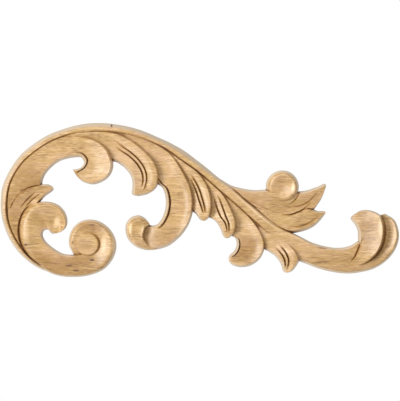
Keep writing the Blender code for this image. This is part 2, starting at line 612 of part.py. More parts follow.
def right_stem():
    """The stem to the right, which rises at its end and winds round the terminal scroll."""
    stations = [
        (250.0, 205.5, 0.48, 246.0, 214.0, 0.46),
        (262.0, 215.4, 0.56, 254.0, 224.0, 0.52),
        (274.0, 224.2, 0.62, 260.4, 236.6, 0.54),
        (284.0, 229.8, 0.64, 267.0, 248.0, 0.52),
        (293.2, 233.9, 0.64, 280.0, 254.6, 0.52),
        (301.0, 237.6, 0.64, 295.0, 259.4, 0.54),
        (311.0, 242.7, 0.64, 305.0, 262.8, 0.58),
        (322.0, 246.2, 0.64, 318.0, 267.8, 0.58),
        (334.0, 248.4, 0.62, 332.0, 271.4, 0.56),
        (344.0, 248.1, 0.60, 347.0, 273.1, 0.56),
        (351.5, 246.0, 0.56, 361.0, 271.7, 0.56),
        (356.5, 242.8, 0.50, 374.0, 268.2, 0.58),
        (362.0, 240.0, 0.42, 385.5, 261.0, 0.62),
        (369.0, 237.0, 0.46, 394.2, 250.8, 0.74),
        (374.0, 232.0, 0.46, 398.6, 239.0, 0.80),
        (376.5, 226.0, 0.46, 397.9, 228.6, 0.78),
        (377.5, 220.0, 0.46, 393.8, 219.6, 0.70),
        (378.0, 215.8, 0.42, 385.0, 213.9, 0.56),
    ]
    left = rolled((0, 1.4, 0.80), (4, 1.8, 0.50), (6, 2.2, 0.35), (17, 2.2, 0.40))
    right = rolled((0, 2.0, 0.70), (4, 2.4, 0.50), (6, 3.4, 0.30), (17, 3.6, 0.30), power=1.7)
    bends = [(0, 0.0, 0.0, 0.0), (6, 0.03, 0.03, 0.02), (9, 0.0, 0.0, 0.0), (12, -0.05, -0.08, -0.05),
             (14, -0.08, -0.14, -0.13), (16, -0.05, -0.09, -0.10), (17, 0.0, 0.0, 0.0)]
    return stroke(stations, left, right, bends)


def terminal_scroll():
    """The raised lobe that curls in at the right end."""
    stations = [
        (344.0, 263.6, 0.48, 350.0, 267.6, 0.48),
        (353.0, 259.4, 0.62, 364.0, 264.0, 0.62),
        (357.0, 251.8, 0.70, 374.2, 256.0, 0.90),
        (359.3, 245.0, 0.66, 380.2, 248.4, 0.998),
        (358.9, 238.0, 0.62, 383.5, 239.8, 1.053),
        (358.7, 231.2, 0.62, 384.6, 230.6, 1.063),
        (356.8, 226.1, 0.62, 383.4, 222.5, 1.038),
        (354.6, 222.8, 0.60, 379.4, 214.9, 0.96),
        (353.0, 220.9, 0.58, 370.0, 210.7, 0.76),
        (352.1, 219.6, 0.56, 361.0, 210.9, 0.66),
        (351.4, 218.6, 0.54, 354.4, 214.5, 0.58),
        (351.0, 218.0, 0.52, 351.6, 217.0, 0.54),
    ]
    left = rolled((0, 2.6, 0.50), (3, 2.6, 0.40), (11, 2.6, 0.40))
    right = rolled((0, 2.0, 0.60), (2, 2.8, 0.40), (7, 2.8, 0.40), (11, 2.6, 0.50))
    bends = [(0, 0.0, 0.0, 0.0), (2, -0.02, -0.03, -0.02), (5, -0.035, -0.05, -0.045),
             (8, -0.02, -0.04, -0.03), (11, 0.0, 0.0, 0.0)]
    return stroke(stations, left, right, bends)


def upper_leaf():
    """The upper pointed leaf above the stem."""
    stations = [
        (221.0, 179.6, 0.46, 226.0, 188.0, 0.46),
        (231.0, 185.7, 0.52, 233.5, 193.4, 0.50),
        (242.0, 188.9, 0.58, 243.0, 198.8, 0.50),
        (254.0, 190.6, 0.64, 254.0, 203.8, 0.50),
        (266.0, 190.2, 0.70, 265.0, 208.8, 0.50),
        (278.0, 191.0, 0.72, 276.0, 213.2, 0.50),
        (290.0, 192.6, 0.64, 288.0, 215.4, 0.50),
        (299.0, 192.0, 0.56, 298.0, 213.0, 0.52),
        (307.0, 190.9, 0.58, 306.5, 209.2, 0.54),
        (313.5, 188.7, 0.60, 313.0, 209.4, 0.56),
        (318.5, 187.0, 0.60, 317.5, 204.4, 0.56),
        (322.0, 185.3, 0.58, 321.6, 198.0, 0.56),
        (324.6, 184.3, 0.54, 324.5, 190.9, 0.54),
        (326.0, 184.9, 0.50, 325.9, 187.0, 0.50),
    ]
    bends = [(0, 0.0, 0.0, 0.0), (4, -0.02, -0.05, -0.03), (9, 0.02, -0.02, -0.02), (13, 0.0, 0.0, 0.0)]
    return stroke(stations, rolled((0, 2.6, 0.30)), rolled((0, 2.2, 0.45)), bends)


def lower_leaf():
    """The lower pointed leaf above the stem."""
    stations = [
        (236.0, 194.6, 0.46, 244.0, 203.0, 0.44),
        (253.0, 202.0, 0.50, 257.0, 213.6, 0.50),
        (268.0, 209.0, 0.54, 269.6, 223.4, 0.54),
        (280.0, 213.4, 0.56, 280.6, 229.6, 0.56),
        (289.0, 214.7, 0.58, 291.0, 232.5, 0.58),
        (298.0, 212.2, 0.60, 300.3, 231.3, 0.62),
        (306.0, 208.4, 0.60, 308.0, 229.0, 0.62),
        (312.6, 209.6, 0.60, 314.6, 225.4, 0.62),
        (318.0, 211.5, 0.58, 319.6, 220.6, 0.60),
        (322.6, 211.6, 0.54, 323.2, 216.2, 0.56),
        (325.4, 211.9, 0.50, 325.6, 212.8, 0.52),
    ]
    bends = [(0, 0.0, 0.0, 0.0), (5, 0.0, -0.03, -0.02), (10, 0.0, 0.0, 0.0)]
    return stroke(stations, rolled((0, 2.0, 0.45)), rolled((0, 2.8, 0.30)), bends)


def ball():
    """The round boss above the pointed leaves."""
    edge = rolled((0, 5.4, 0.30), power=2.0)
    return button((282.4, 186.9), 15.9, edge, 0.88, 0.58, lean=(0.86, -0.5), dish=0.11)


def carving_object(name, mesh, material, collection):
    """An object that holds a finished bmesh."""
    data = bpy.data.meshes.new(name)
    mesh.to_mesh(data)
    mesh.free()
    data.shade_smooth()
    data.set_sharp_from_angle(angle=math.radians(SHARP_ANGLE))
    data.materials.append(material)
    item = bpy.data.objects.new(name, data)
    collection.objects.link(item)
    return item


def beech():
    """Plain beech with a satin finish."""
    material = bpy.data.materials.new("beech")
    material.use_nodes = True
    shader = material.node_tree.nodes["Principled BSDF"]
    shader.inputs["Base Color"].default_value = BEECH_COLOUR
    shader.inputs["Roughness"].default_value = BEECH_ROUGHNESS
    shader.inputs["Metallic"].default_value = 0.0
    return material


def back_cutter(material, collection):
    """A block that cuts the back flat."""
    mesh = bmesh.new()
    bmesh.ops.create_cube(mesh, size=1.0)
    block = (1.2 * LENGTH, 2 * BACK_ALLOWANCE, LENGTH)
    bmesh.ops.scale(mesh, vec=block, verts=mesh.verts[:])
    bmesh.ops.translate(mesh, vec=(0.0, BACK_ALLOWANCE, 0.0), verts=mesh.verts[:])
    return carving_object("back_cutter", mesh, material, collection)


def clear_scene():
    """Remove what the scene holds."""
    for item in list(bpy.data.objects):
        bpy.data.objects.remove(item, do_unlink=True)


def main():
    """Build the carving from its strokes."""
    clear_scene()
    parts = bpy.data.collections.new("acanthus_applique")
    tools = bpy.data.collections.new("cutters")
    strokes = bpy.data.collections.new("strokes")
    for collection in (parts, tools, strokes):
        bpy.context.scene.collection.children.link(collection)
    material = beech()
    makers = [
        first_curl,
        outer_rim,
        small_leaf,
        lower_lobe,
        volute_band,
        volute_eye,
        second_leaf,
        great_hook,
        hook_knob,
        third_leaf,
        fourth_leaf,
        small_hook,
        last_leaf,
        right_stem,
        terminal_scroll,
        upper_leaf,
        lower_leaf,
        ball,
    ]
    carving = carving_object("carved_scroll", makers[0](), material, parts)
    for maker in makers[1:]:
        tool = carving_object(maker.__name__, maker(), material, strokes)
        tool.hide_render = True
        tool.display_type = "WIRE"
    union = carving.modifiers.new("join_strokes", "BOOLEAN")
    union.operation = "UNION"
    union.operand_type = "COLLECTION"
    union.collection = strokes
    union.solver = "EXACT"
    cutter = back_cutter(material, tools)
    cutter.hide_render = True
    cutter.display_type = "WIRE"
    flat = carving.modifiers.new("flat_back", "BOOLEAN")
    flat.operation = "DIFFERENCE"
    flat.object = cutter
    flat.solver = "EXACT"


main()
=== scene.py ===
"""Carved acanthus applique in beech: the finished carving, its wood, and the stage it is shown on.

The carving hangs upright: +X runs along its length, +Z is up, and its flat back lies in the plane Y = 0.
The front faces -Y. The plan is drawn on a sheet whose grid has SHEET_SPAN squares along the length, with x
from the left end and y downwards. Heights of the carving are shares of the depth, measured from the back.

Each stroke of the carving is a strip between a left and a right edge. A row of its table is one station
across it: left x, left y, left height, right x, right y, right height, from the root to the tip.
"""

import math

import bpy
import numpy as np
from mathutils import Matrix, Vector
from mathutils.bvhtree import BVHTree


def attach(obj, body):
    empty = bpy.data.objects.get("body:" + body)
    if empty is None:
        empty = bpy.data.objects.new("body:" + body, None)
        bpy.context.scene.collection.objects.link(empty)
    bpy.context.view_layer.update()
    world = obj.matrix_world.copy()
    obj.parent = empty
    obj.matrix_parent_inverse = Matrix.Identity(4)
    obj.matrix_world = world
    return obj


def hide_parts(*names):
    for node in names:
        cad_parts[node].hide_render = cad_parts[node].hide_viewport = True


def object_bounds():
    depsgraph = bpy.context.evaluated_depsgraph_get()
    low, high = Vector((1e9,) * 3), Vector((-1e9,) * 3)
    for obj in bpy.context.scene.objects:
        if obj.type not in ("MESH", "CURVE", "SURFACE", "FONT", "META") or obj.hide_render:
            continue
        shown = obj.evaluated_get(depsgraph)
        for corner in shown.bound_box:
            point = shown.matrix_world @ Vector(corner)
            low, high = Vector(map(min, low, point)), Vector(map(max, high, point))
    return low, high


bl_info = {
    "name": "Acanthus wood applique",
    "version": (1, 0, 0),
    "blender": (4, 5, 0),
    "location": "View3D > Sidebar > Applique",
    "description": "Carves the acanthus applique, finishes it in beech and sets up its stage",
    "category": "Object",
}

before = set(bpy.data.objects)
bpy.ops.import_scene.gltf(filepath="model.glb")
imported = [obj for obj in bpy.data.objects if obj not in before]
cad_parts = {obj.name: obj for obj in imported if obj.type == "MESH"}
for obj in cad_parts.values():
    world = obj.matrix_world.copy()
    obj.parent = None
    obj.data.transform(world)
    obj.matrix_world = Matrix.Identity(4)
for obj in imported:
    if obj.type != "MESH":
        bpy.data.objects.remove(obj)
CAD_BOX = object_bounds()

# Overall size in metres
LENGTH = 0.240
DEPTH = 0.014

# The drawing sheet
SHEET_SPAN = 399.2
SHEET_MIDDLE = (200.0, 199.9)

# How far each stroke reaches behind the back before the back is cut flat, in metres
BACK_ALLOWANCE = 0.002

# The narrowest gap between two columns of a stroke, as a share of its width
LEAST_STEP = 0.0012

# How far each edge of a stroke stands outside its drawn line, in squares of the sheet
EDGE_MARGIN = 0.6

# The widest reach of a rolled edge, and of half a groove, as shares of the stroke's width
EDGE_SHARE = 0.42
GROOVE_SHARE = 0.1

# Columns across a rolled edge, and across each side of a groove
EDGE_COLUMNS = 5
GROOVE_COLUMNS = 3

# The band round the volute lies over its own start, so from this station on its rest is a piece of its own
LOBE_START = 13

# How a groove's walls curve and how its ends fade, as powers
GROOVE_POWER = 1.3
GROOVE_FADE = 0.6

# A cut line: columns across it, the power of its walls, the share of its length that is kept off both ends,
# how far its edges clear the surface and how far it reaches in front of it, as shares of the depth
CUT_COLUMNS = 9
CUT_POWER = 1.2
CUT_END = 0.02
CUT_CLEARANCE = 0.004
CUT_REACH = 1.4

# The margin round the map of heights, in metres
MAP_MARGIN = 0.004

# Where the solid share of the surroundings counts as inside, and where a border ends: start and span
INSIDE_RAMP = (0.8, 0.18)
BORDER_RAMP = (0.85, 0.11)

# The depths in metres between which the painted shade of a groove and of the foot of a step comes in
GROOVE_SHADE_RANGE = (0.0003, 0.0011)
FOOT_SHADE_RANGE = (0.0002, 0.0026)

# How much closer the points of a round boss stand towards its edge
DISC_CROWDING = 1.7

# The pitch of the height map that the grooves are read from, the radius of the ball that rolls over them,
# and how far the foot of a step reaches, in metres
MAP_PITCH = 0.0003
GROOVE_RADIUS = 0.0013
FOOT_REACH = 0.0009

# Points closer to the back than this have no share in the grooves, in metres
BACK_ZONE = 0.0004


def place(x, y, height):
    """A point of the sheet, raised from the back by a share of the depth."""
    unit = LENGTH / SHEET_SPAN
    return (
        (x - SHEET_MIDDLE[0]) * unit,
        -height * DEPTH,
        (SHEET_MIDDLE[1] - y) * unit,
    )


def smooth_rows(stations, steps):
    """Rows at even steps along smooth curves through the stations."""
    rows = np.array(stations, dtype=float)
    ends = np.vstack([2 * rows[0] - rows[1], rows, 2 * rows[-1] - rows[-2]])
    result = []
    for index in range(len(rows) - 1):
        before, start, finish, after = ends[index:index + 4]
        for step in range(steps):
            t = step / steps
            result.append(0.5 * (
                2 * start
                + (finish - before) * t
                + (2 * before - 5 * start + 4 * finish - after) * t ** 2
                + (3 * start - before - 3 * finish + after) * t ** 3
            ))
    result.append(rows[-1])
    return np.array(result)


def rolled(*rows, power=1.3):
    """A rolled edge. Its rows say from which station on it has which width, and which share of the height its
    foot has."""
    return {"rows": rows, "power": power}


def along(rows, station):
    """What a table says at a place along a stroke."""
    table = np.array(rows, dtype=float)
    return [float(np.interp(station, table[:, 0], table[:, column])) for column in range(1, table.shape[1])]


def edge_factor(power, foot, distance, reach):
    """The share of the full height at distances in from an edge."""
    f = np.clip(distance / reach, 0.0, 1.0)
    rise = (1 - (1 - f) ** power) ** (1 / power)
    return foot + (1 - foot) * rise


def flute(places, width, depth, start, end):
    """A V groove along a stroke: its shares across at both ends, its width and depth, and where it runs."""
    return {"places": places, "side": None, "half": width / 2, "depth": depth, "start": start, "end": end}


def fillet(side, distance, width, depth, start, end):
    """A V groove that keeps its distance from one edge of a stroke, and leaves a narrow fillet beside it."""
    return {"places": (distance, distance), "side": side, "half": width / 2, "depth": depth, "start": start,
            "end": end}


def groove_place(groove, t, width):
    """Where a groove runs, as a share across a stroke of this width."""
    travelled = min(max((t - groove["start"]) / (groove["end"] - groove["start"]), 0.0), 1.0)
    first, last = groove["places"]
    place_here = first + (last - first) * travelled
    if groove["side"] == "left":
        return min(place_here / width, 0.5)
    if groove["side"] == "right":
        return max(1 - place_here / width, 0.5)
    return place_here


def groove_depth(groove, s, t, width):
    """How deep a groove is at places across a stroke."""
    if t <= groove["start"] or t >= groove["end"]:
        return 0.0 * s
    half = min(groove["half"] / width, GROOVE_SHARE)
    open_share = np.clip(1 - np.abs(s - groove_place(groove, t, width)) / half, 0.0, 1.0)
    open_share = open_share ** GROOVE_POWER
    travelled = (t - groove["start"]) / (groove["end"] - groove["start"])
    return groove["depth"] * open_share * math.sin(math.pi * travelled) ** GROOVE_FADE


def subdivided(keys, steps):
    """Places across a stroke: each gap between the keys in its number of steps."""
    places = []
    for index, count in enumerate(steps):
        for step in range(count):
            places.append(keys[index] + (keys[index + 1] - keys[index]) * step / count)
    return places + [keys[-1]]


def spread(keys):
    """The same places in rising order, none closer than the least step."""
    last = len(keys) - 1
    result = []
    for index, key in enumerate(keys):
        low = index * LEAST_STEP
        high = 1 - (last - index) * LEAST_STEP
        key = min(max(key, low), high)
        if result:
            key = max(key, result[-1] + LEAST_STEP)
        result.append(min(key, high))
    return result


def bent(bends, station, s):
    """How far the face of a stroke is bent up or down at places across it."""
    if not bends:
        return 0.0 * s
    keys = np.array([0.0, 0.25, 0.5, 0.75, 1.0])
    values = np.array([0.0, *along(bends, station), 0.0])
    ends = np.concatenate([[2 * values[0] - values[1]], values, [2 * values[-1] - values[-2]]])
    index = np.minimum((s * 4).astype(int), 3)
    t = s * 4 - keys[index] * 4
    before, start, finish, after = ends[index], ends[index + 1], ends[index + 2], ends[index + 3]
    return 0.5 * (
        2 * start
        + (finish - before) * t
        + (2 * before - 5 * start + 4 * finish - after) * t ** 2
        + (3 * start - before - 3 * finish + after) * t ** 3
    )


def stroke(stations, left, right, bends=(), grooves=(), end=None):
    """The points of one strip of the carving, row by row: x, y and height on the sheet."""
    sizes = bpy.context.scene.applique_sizes
    rows = smooth_rows(stations, sizes.rows)
    middles = (rows[:, 0:2] + rows[:, 3:5]) / 2
    run = np.concatenate([[0.0], np.cumsum(np.linalg.norm(np.diff(middles, axis=0), axis=1))])
    tops = []
    for index, row in enumerate(rows):
        station = index / sizes.rows
        tops.append(stroke_row(row, station, len(stations) - 1, run[-1] - run[index], left, right, bends,
                               grooves, end))
    return np.array(tops)


def stroke_row(row, station, last, to_end, left, right, bends, grooves, end):
    """The points across a stroke at one row."""
    fill = bpy.context.scene.applique_sizes.columns
    t = station / last
    across = row[3:5] - row[0:2]
    across /= max(float(np.linalg.norm(across)), 1e-6)
    foot_left = row[0:2] - across * EDGE_MARGIN
    foot_right = row[3:5] + across * EDGE_MARGIN
    width = float(np.linalg.norm(foot_right - foot_left))
    left_width, left_foot = along(left["rows"], station)
    right_width, right_foot = along(right["rows"], station)
    left_reach = min(left_width, EDGE_SHARE * width)
    right_reach = min(right_width, EDGE_SHARE * width)
    keys = [0.0, left_reach / width]
    steps = [EDGE_COLUMNS]
    ordered = sorted(grooves, key=lambda groove: groove_place(groove, 0.5, width))
    for number, groove in enumerate(ordered):
        middle = groove_place(groove, t, width)
        half = min(groove["half"] / width, GROOVE_SHARE)
        keys += [middle - half, middle, middle + half]
        steps += [fill if number == 0 else fill // 2, GROOVE_COLUMNS, GROOVE_COLUMNS]
    keys += [1 - right_reach / width, 1.0]
    steps += [fill, EDGE_COLUMNS]
    s = np.array(subdivided(spread(keys), steps))
    height = row[2] + (row[5] - row[2]) * s + bent(bends, station, s)
    for groove in grooves:
        height = height - groove_depth(groove, s, t, width)
    height = height * edge_factor(left["power"], left_foot, s * width, left_reach)
    height = height * edge_factor(right["power"], right_foot, (1 - s) * width, right_reach)
    if end:
        end_width, end_foot = end["rows"][0][1:]
        height = height * edge_factor(end["power"], end_foot, to_end, end_width)
    plan = foot_left + (foot_right - foot_left) * s[:, None]
    return np.column_stack([plan, height])


def disc_places(steps):
    """A square grid of points laid out over a disc: the share of the radius and the angle of each."""
    side = np.linspace(-1.0, 1.0, steps + 1)
    x, y = np.meshgrid(side, side)
    wide = np.abs(x) > np.abs(y)
    reach = np.where(wide, x, y)
    other = np.where(wide, y, x)
    turn = np.pi / 4 * other / np.where(reach == 0.0, 1.0, reach)
    angle = np.where(wide, turn, np.pi / 2 - turn)
    share = 1 - (1 - np.abs(reach)) ** DISC_CROWDING
    return share, np.where(reach < 0, angle + np.pi, angle)


def button(centre, radius, edge, high, low=None, lean=(1.0, 0.0), dish=0.0):
    """The points of a round boss with a rolled edge, dished in its middle, that may lean towards one side."""
    low = high if low is None else low
    radius += EDGE_MARGIN
    edge_width, edge_foot = edge["rows"][0][1:]
    inner = radius - edge_width
    share, angle = disc_places(bpy.context.scene.applique_sizes.disc_steps)
    r = share * radius
    x = np.cos(angle) * r
    y = np.sin(angle) * r
    slope = 0.5 + 0.5 * (x * lean[0] + y * lean[1]) / radius
    height = low + (high - low) * slope - dish * np.clip(1 - (r / inner) ** 2, 0.0, None)
    height = height * edge_factor(edge["power"], edge_foot, radius - r, edge_width)
    return np.dstack([centre[0] + x, centre[1] + y, height])


def outer_rim():
    """The rounded rim that frames the scroll and runs on as the stem to the lower right."""
    stations = [
        (54.0, 273.6, 0.40, 51.0, 269.5, 0.40),
        (45.4, 270.6, 0.46, 45.0, 267.0, 0.46),
        (37.8, 267.2, 0.52, 39.5, 264.4, 0.52),
        (28.2, 261.0, 0.58, 31.6, 258.7, 0.58),
        (17.9, 251.3, 0.54, 23.7, 250.9, 0.62),
        (9.2, 238.3, 0.51, 15.5, 239.2, 0.64),
        (3.7, 224.2, 0.50, 9.4, 224.8, 0.65),
        (1.1, 212.0, 0.50, 6.7, 212.0, 0.65),
        (0.84, 200.0, 0.50, 7.0, 201.0, 0.65),
        (2.0, 189.0, 0.50, 8.6, 190.0, 0.65),
        (5.4, 179.0, 0.50, 12.4, 179.2, 0.65),
        (11.5, 167.7, 0.50, 18.8, 168.0, 0.65),
        (20.3, 155.6, 0.50, 27.3, 158.2, 0.65),
        (32.7, 145.0, 0.50, 38.7, 149.4, 0.65),
        (47.0, 135.9, 0.50, 51.6, 141.4, 0.65),
        (61.2, 130.2, 0.52, 63.7, 136.5, 0.65),
        (75.3, 126.0, 0.54, 77.0, 132.9, 0.64),
        (90.0, 123.7, 0.56, 91.0, 131.7, 0.64),
        (106.0, 123.7, 0.58, 105.0, 131.7, 0.64),
        (124.0, 126.2, 0.60, 121.0, 133.0, 0.63),
        (141.0, 130.8, 0.64, 137.8, 137.0, 0.62),
        (158.0, 137.9, 0.64, 154.4, 143.6, 0.62),
        (171.0, 143.9, 0.64, 167.8, 150.6, 0.62),
        (184.0, 151.3, 0.64, 179.8, 159.4, 0.62),
        (195.0, 159.5, 0.66, 191.0, 167.0, 0.64),
        (206.0, 168.0, 0.66, 202.0, 175.4, 0.64),
        (216.5, 176.8, 0.68, 213.0, 184.9, 0.66),
        (226.5, 184.3, 0.70, 223.0, 193.7, 0.66),
        (235.0, 190.8, 0.72, 231.6, 200.9, 0.66),
        (245.0, 200.0, 0.72, 241.5, 209.6, 0.66),
        (254.0, 207.4, 0.72, 250.0, 217.4, 0.66),
        (264.0, 216.2, 0.68, 259.0, 225.4, 0.66),
        (272.0, 222.4, 0.66, 266.0, 231.4, 0.64),
        (280.0, 227.4, 0.62, 273.0, 236.8, 0.60),
        (288.0, 231.4, 0.50, 281.0, 241.0, 0.50),
    ]
    outer = rolled((0, 3.4, 0.10), (3, 4.2, 0.10), (12, 4.6, 0.10), (20, 4.8, 0.10), (23, 4.4, 0.12),
                   (27, 2.4, 0.40), (36, 2.0, 0.55), power=1.12)
    inner = rolled((0, 2.0, 0.62), (14, 2.0, 0.62), (16, 2.8, 0.84), (19, 2.4, 0.84), (21, 2.0, 0.70),
                   (36, 2.0, 0.66), power=1.2)
    return stroke(stations, outer, inner)


def first_curl():
    """The body of the scroll and the leaf that grows from it over the top and curls in at its end."""
    stations = [
        (7.4, 222.0, 0.40, 26.0, 213.0, 0.26),
        (6.2, 210.0, 0.50, 34.0, 203.0, 0.30),
        (6.6, 197.0, 0.55, 40.4, 191.0, 0.36),
        (9.6, 183.0, 0.58, 41.8, 180.6, 0.48),
        (15.8, 169.8, 0.60, 45.2, 173.2, 0.56),
        (24.6, 158.8, 0.60, 50.8, 166.8, 0.58),
        (36.4, 149.2, 0.60, 58.2, 161.2, 0.60),
        (53.0, 139.6, 0.60, 66.2, 158.2, 0.60),
        (70.0, 135.8, 0.60, 74.0, 156.8, 0.60),
        (86.0, 136.9, 0.62, 80.2, 156.6, 0.60),
        (97.0, 140.4, 0.72, 83.2, 159.2, 0.60),
        (105.6, 147.2, 0.82, 84.4, 162.2, 0.60),
        (110.6, 156.0, 0.88, 83.3, 165.2, 0.60),
        (112.6, 165.0, 0.90, 81.3, 167.4, 0.60),
        (110.2, 173.6, 0.88, 79.0, 168.7, 0.60),
        (104.0, 180.0, 0.84, 77.0, 169.3, 0.58),
        (93.5, 184.0, 0.76, 75.4, 169.6, 0.55),
        (83.2, 181.6, 0.66, 74.9, 169.7, 0.52),
        (77.0, 176.4, 0.60, 74.2, 169.8, 0.50),
        (74.4, 172.8, 0.54, 73.1, 169.9, 0.50),
    ]
    beside = fillet("right", 4.2, 2.6, 0.18, 0.42, 0.90)
    bends = [(0, 0, 0, 0), (8, -0.01, -0.02, -0.02), (10, -0.05, -0.10, -0.08), (14, -0.09, -0.16, -0.12),
             (17, -0.06, -0.10, -0.07), (19, 0, 0, 0)]
    left = rolled((0, 1.8, 0.62), (8, 1.8, 0.66), (10, 2.6, 0.30), (19, 2.8, 0.30))
    right = rolled((0, 2.8, 0.25), (8, 2.6, 0.25), (19, 2.2, 0.35))
    return stroke(stations, left, right, bends, [beside])


def small_leaf():
    """The small leaf that stands out to the right from the lower left of the scroll."""
    stations = [
        (32.0, 259.4, 0.46, 35.0, 258.6, 0.44),
        (24.0, 251.4, 0.50, 29.0, 249.4, 0.44),
        (16.2, 240.6, 0.54, 24.4, 239.4, 0.42),
        (10.4, 228.8, 0.56, 22.6, 229.5, 0.42),
        (7.4, 217.0, 0.57, 24.4, 219.0, 0.42),
        (8.2, 207.6, 0.56, 30.0, 211.0, 0.42),
        (12.8, 200.2, 0.60, 35.4, 206.0, 0.44),
        (19.0, 193.4, 0.64, 38.6, 202.4, 0.46),
        (26.6, 188.6, 0.66, 41.4, 199.2, 0.48),
        (34.6, 186.0, 0.66, 44.8, 195.6, 0.50),
        (42.0, 184.9, 0.64, 48.4, 193.0, 0.52),
        (48.4, 184.9, 0.60, 51.4, 191.0, 0.54),
        (52.6, 187.2, 0.56, 53.2, 188.8, 0.56),
    ]
    left = rolled((0, 1.8, 0.70), (8, 1.8, 0.60), (10, 2.2, 0.40))
    right = rolled((0, 2.0, 0.40))
    return stroke(stations, left, right, [(0, 0.0, -0.02, -0.02), (12, 0.0, -0.02, -0.01)])


def volute_and_lobe():
    """The band round the eye of the volute, which runs on along the bottom and curls in to a bulb."""
    stations = [
        (77.0, 258.0, 0.44, 84.0, 250.5, 0.50),
        (72.2, 251.2, 0.60, 82.4, 248.0, 0.50),
        (69.5, 244.2, 0.70, 81.6, 245.0, 0.52),
        (69.9, 236.4, 0.74, 82.0, 241.6, 0.54),
        (73.6, 228.1, 0.74, 83.6, 239.4, 0.55),
        (80.8, 222.0, 0.72, 85.6, 238.2, 0.56),
        (90.0, 220.1, 0.72, 88.6, 237.6, 0.54),
        (99.0, 222.0, 0.74, 91.4, 238.2, 0.48),
        (107.0, 227.3, 0.78, 93.4, 239.6, 0.44),
        (112.6, 234.6, 0.82, 94.6, 241.6, 0.42),
        (115.4, 243.0, 0.84, 95.0, 244.2, 0.41),
        (114.8, 252.0, 0.82, 94.6, 247.0, 0.41),
        (110.9, 260.7, 0.76, 93.2, 249.8, 0.43),
        (104.0, 268.4, 0.68, 91.0, 252.0, 0.47),
        (95.0, 273.0, 0.62, 87.6, 253.4, 0.53),
        (84.0, 275.8, 0.58, 80.6, 254.4, 0.58),
        (73.0, 276.5, 0.56, 71.6, 255.4, 0.58),
        (61.5, 275.8, 0.55, 62.5, 254.2, 0.57),
        (49.6, 272.2, 0.55, 55.0, 250.2, 0.56),
        (39.6, 265.0, 0.60, 48.6, 245.4, 0.56),
        (31.2, 258.6, 0.66, 44.4, 241.0, 0.56),
        (25.2, 250.8, 0.74, 42.2, 236.8, 0.55),
        (21.6, 242.6, 0.78, 42.0, 233.2, 0.58),
        (19.8, 233.6, 0.79, 43.2, 231.0, 0.61),
        (19.9, 224.6, 0.80, 45.0, 229.7, 0.62),
        (22.2, 216.6, 0.80, 46.7, 229.3, 0.61),
        (26.6, 209.8, 0.82, 48.0, 229.6, 0.59),
        (33.6, 204.4, 0.82, 49.0, 230.5, 0.56),
        (42.0, 202.2, 0.84, 49.8, 231.5, 0.58),
        (50.8, 202.7, 0.84, 50.5, 232.2, 0.60),
        (58.8, 206.2, 0.84, 51.3, 232.8, 0.60),
        (64.4, 212.7, 0.84, 52.2, 233.1, 0.60),
        (66.7, 220.6, 0.84, 53.2, 233.3, 0.60),
        (65.3, 227.5, 0.80, 54.2, 233.4, 0.58),
        (60.6, 231.8, 0.72, 55.2, 233.4, 0.55),
        (56.6, 233.2, 0.56, 55.8, 233.4, 0.54),
    ]
    outer = rolled((0, 5.0, 0.50), (5, 5.0, 0.45), (12, 5.0, 0.45), (16, 3.4, 0.35), (19, 3.0, 0.55),
                   (21, 8.0, 0.56), (25, 9.0, 0.54), (27, 5.6, 0.45), (30, 3.6, 0.36),
                   (35, 2.6, 0.45), power=1.8)
    inner = rolled((0, 0.6, 0.97), (14, 0.6, 0.97), (16, 2.4, 0.35), (28, 2.2, 0.40), (35, 2.0, 0.50))
    bends = [(0, 0.0, 0.0, 0.0), (3, 0.0, 0.0, 0.04), (6, 0.02, 0.02, 0.04), (8, 0.07, 0.06, 0.04),
             (10, 0.08, 0.075, 0.05), (12, 0.06, 0.06, 0.05), (15, 0.0, 0.0, 0.0), (21, 0.0, -0.02, -0.01),
             (25, 0.02, 0.0, 0.0),
             (28, -0.06, -0.12, -0.08), (30, -0.12, -0.20, -0.14),
             (32, -0.12, -0.20, -0.12), (34, -0.05, -0.10, -0.05), (35, 0.0, 0.0, 0.0)]
    return stroke(stations, outer, inner, bends)


def volute_band():
    """The part of the band round the eye of the volute."""
    return volute_and_lobe()[:LOBE_START * bpy.context.scene.applique_sizes.rows + 1]


def lower_lobe():
    """The rest of the band, along the bottom and up to the bulb."""
    return volute_and_lobe()[LOBE_START * bpy.context.scene.applique_sizes.rows:]


def volute_eye():
    """The round eye of the volute."""
    return button((87.4, 244.4), 11.9, rolled((0, 2.4, 0.35), power=1.8), 0.745, 0.60, lean=(0.45, -0.9),
                  dish=0.02)


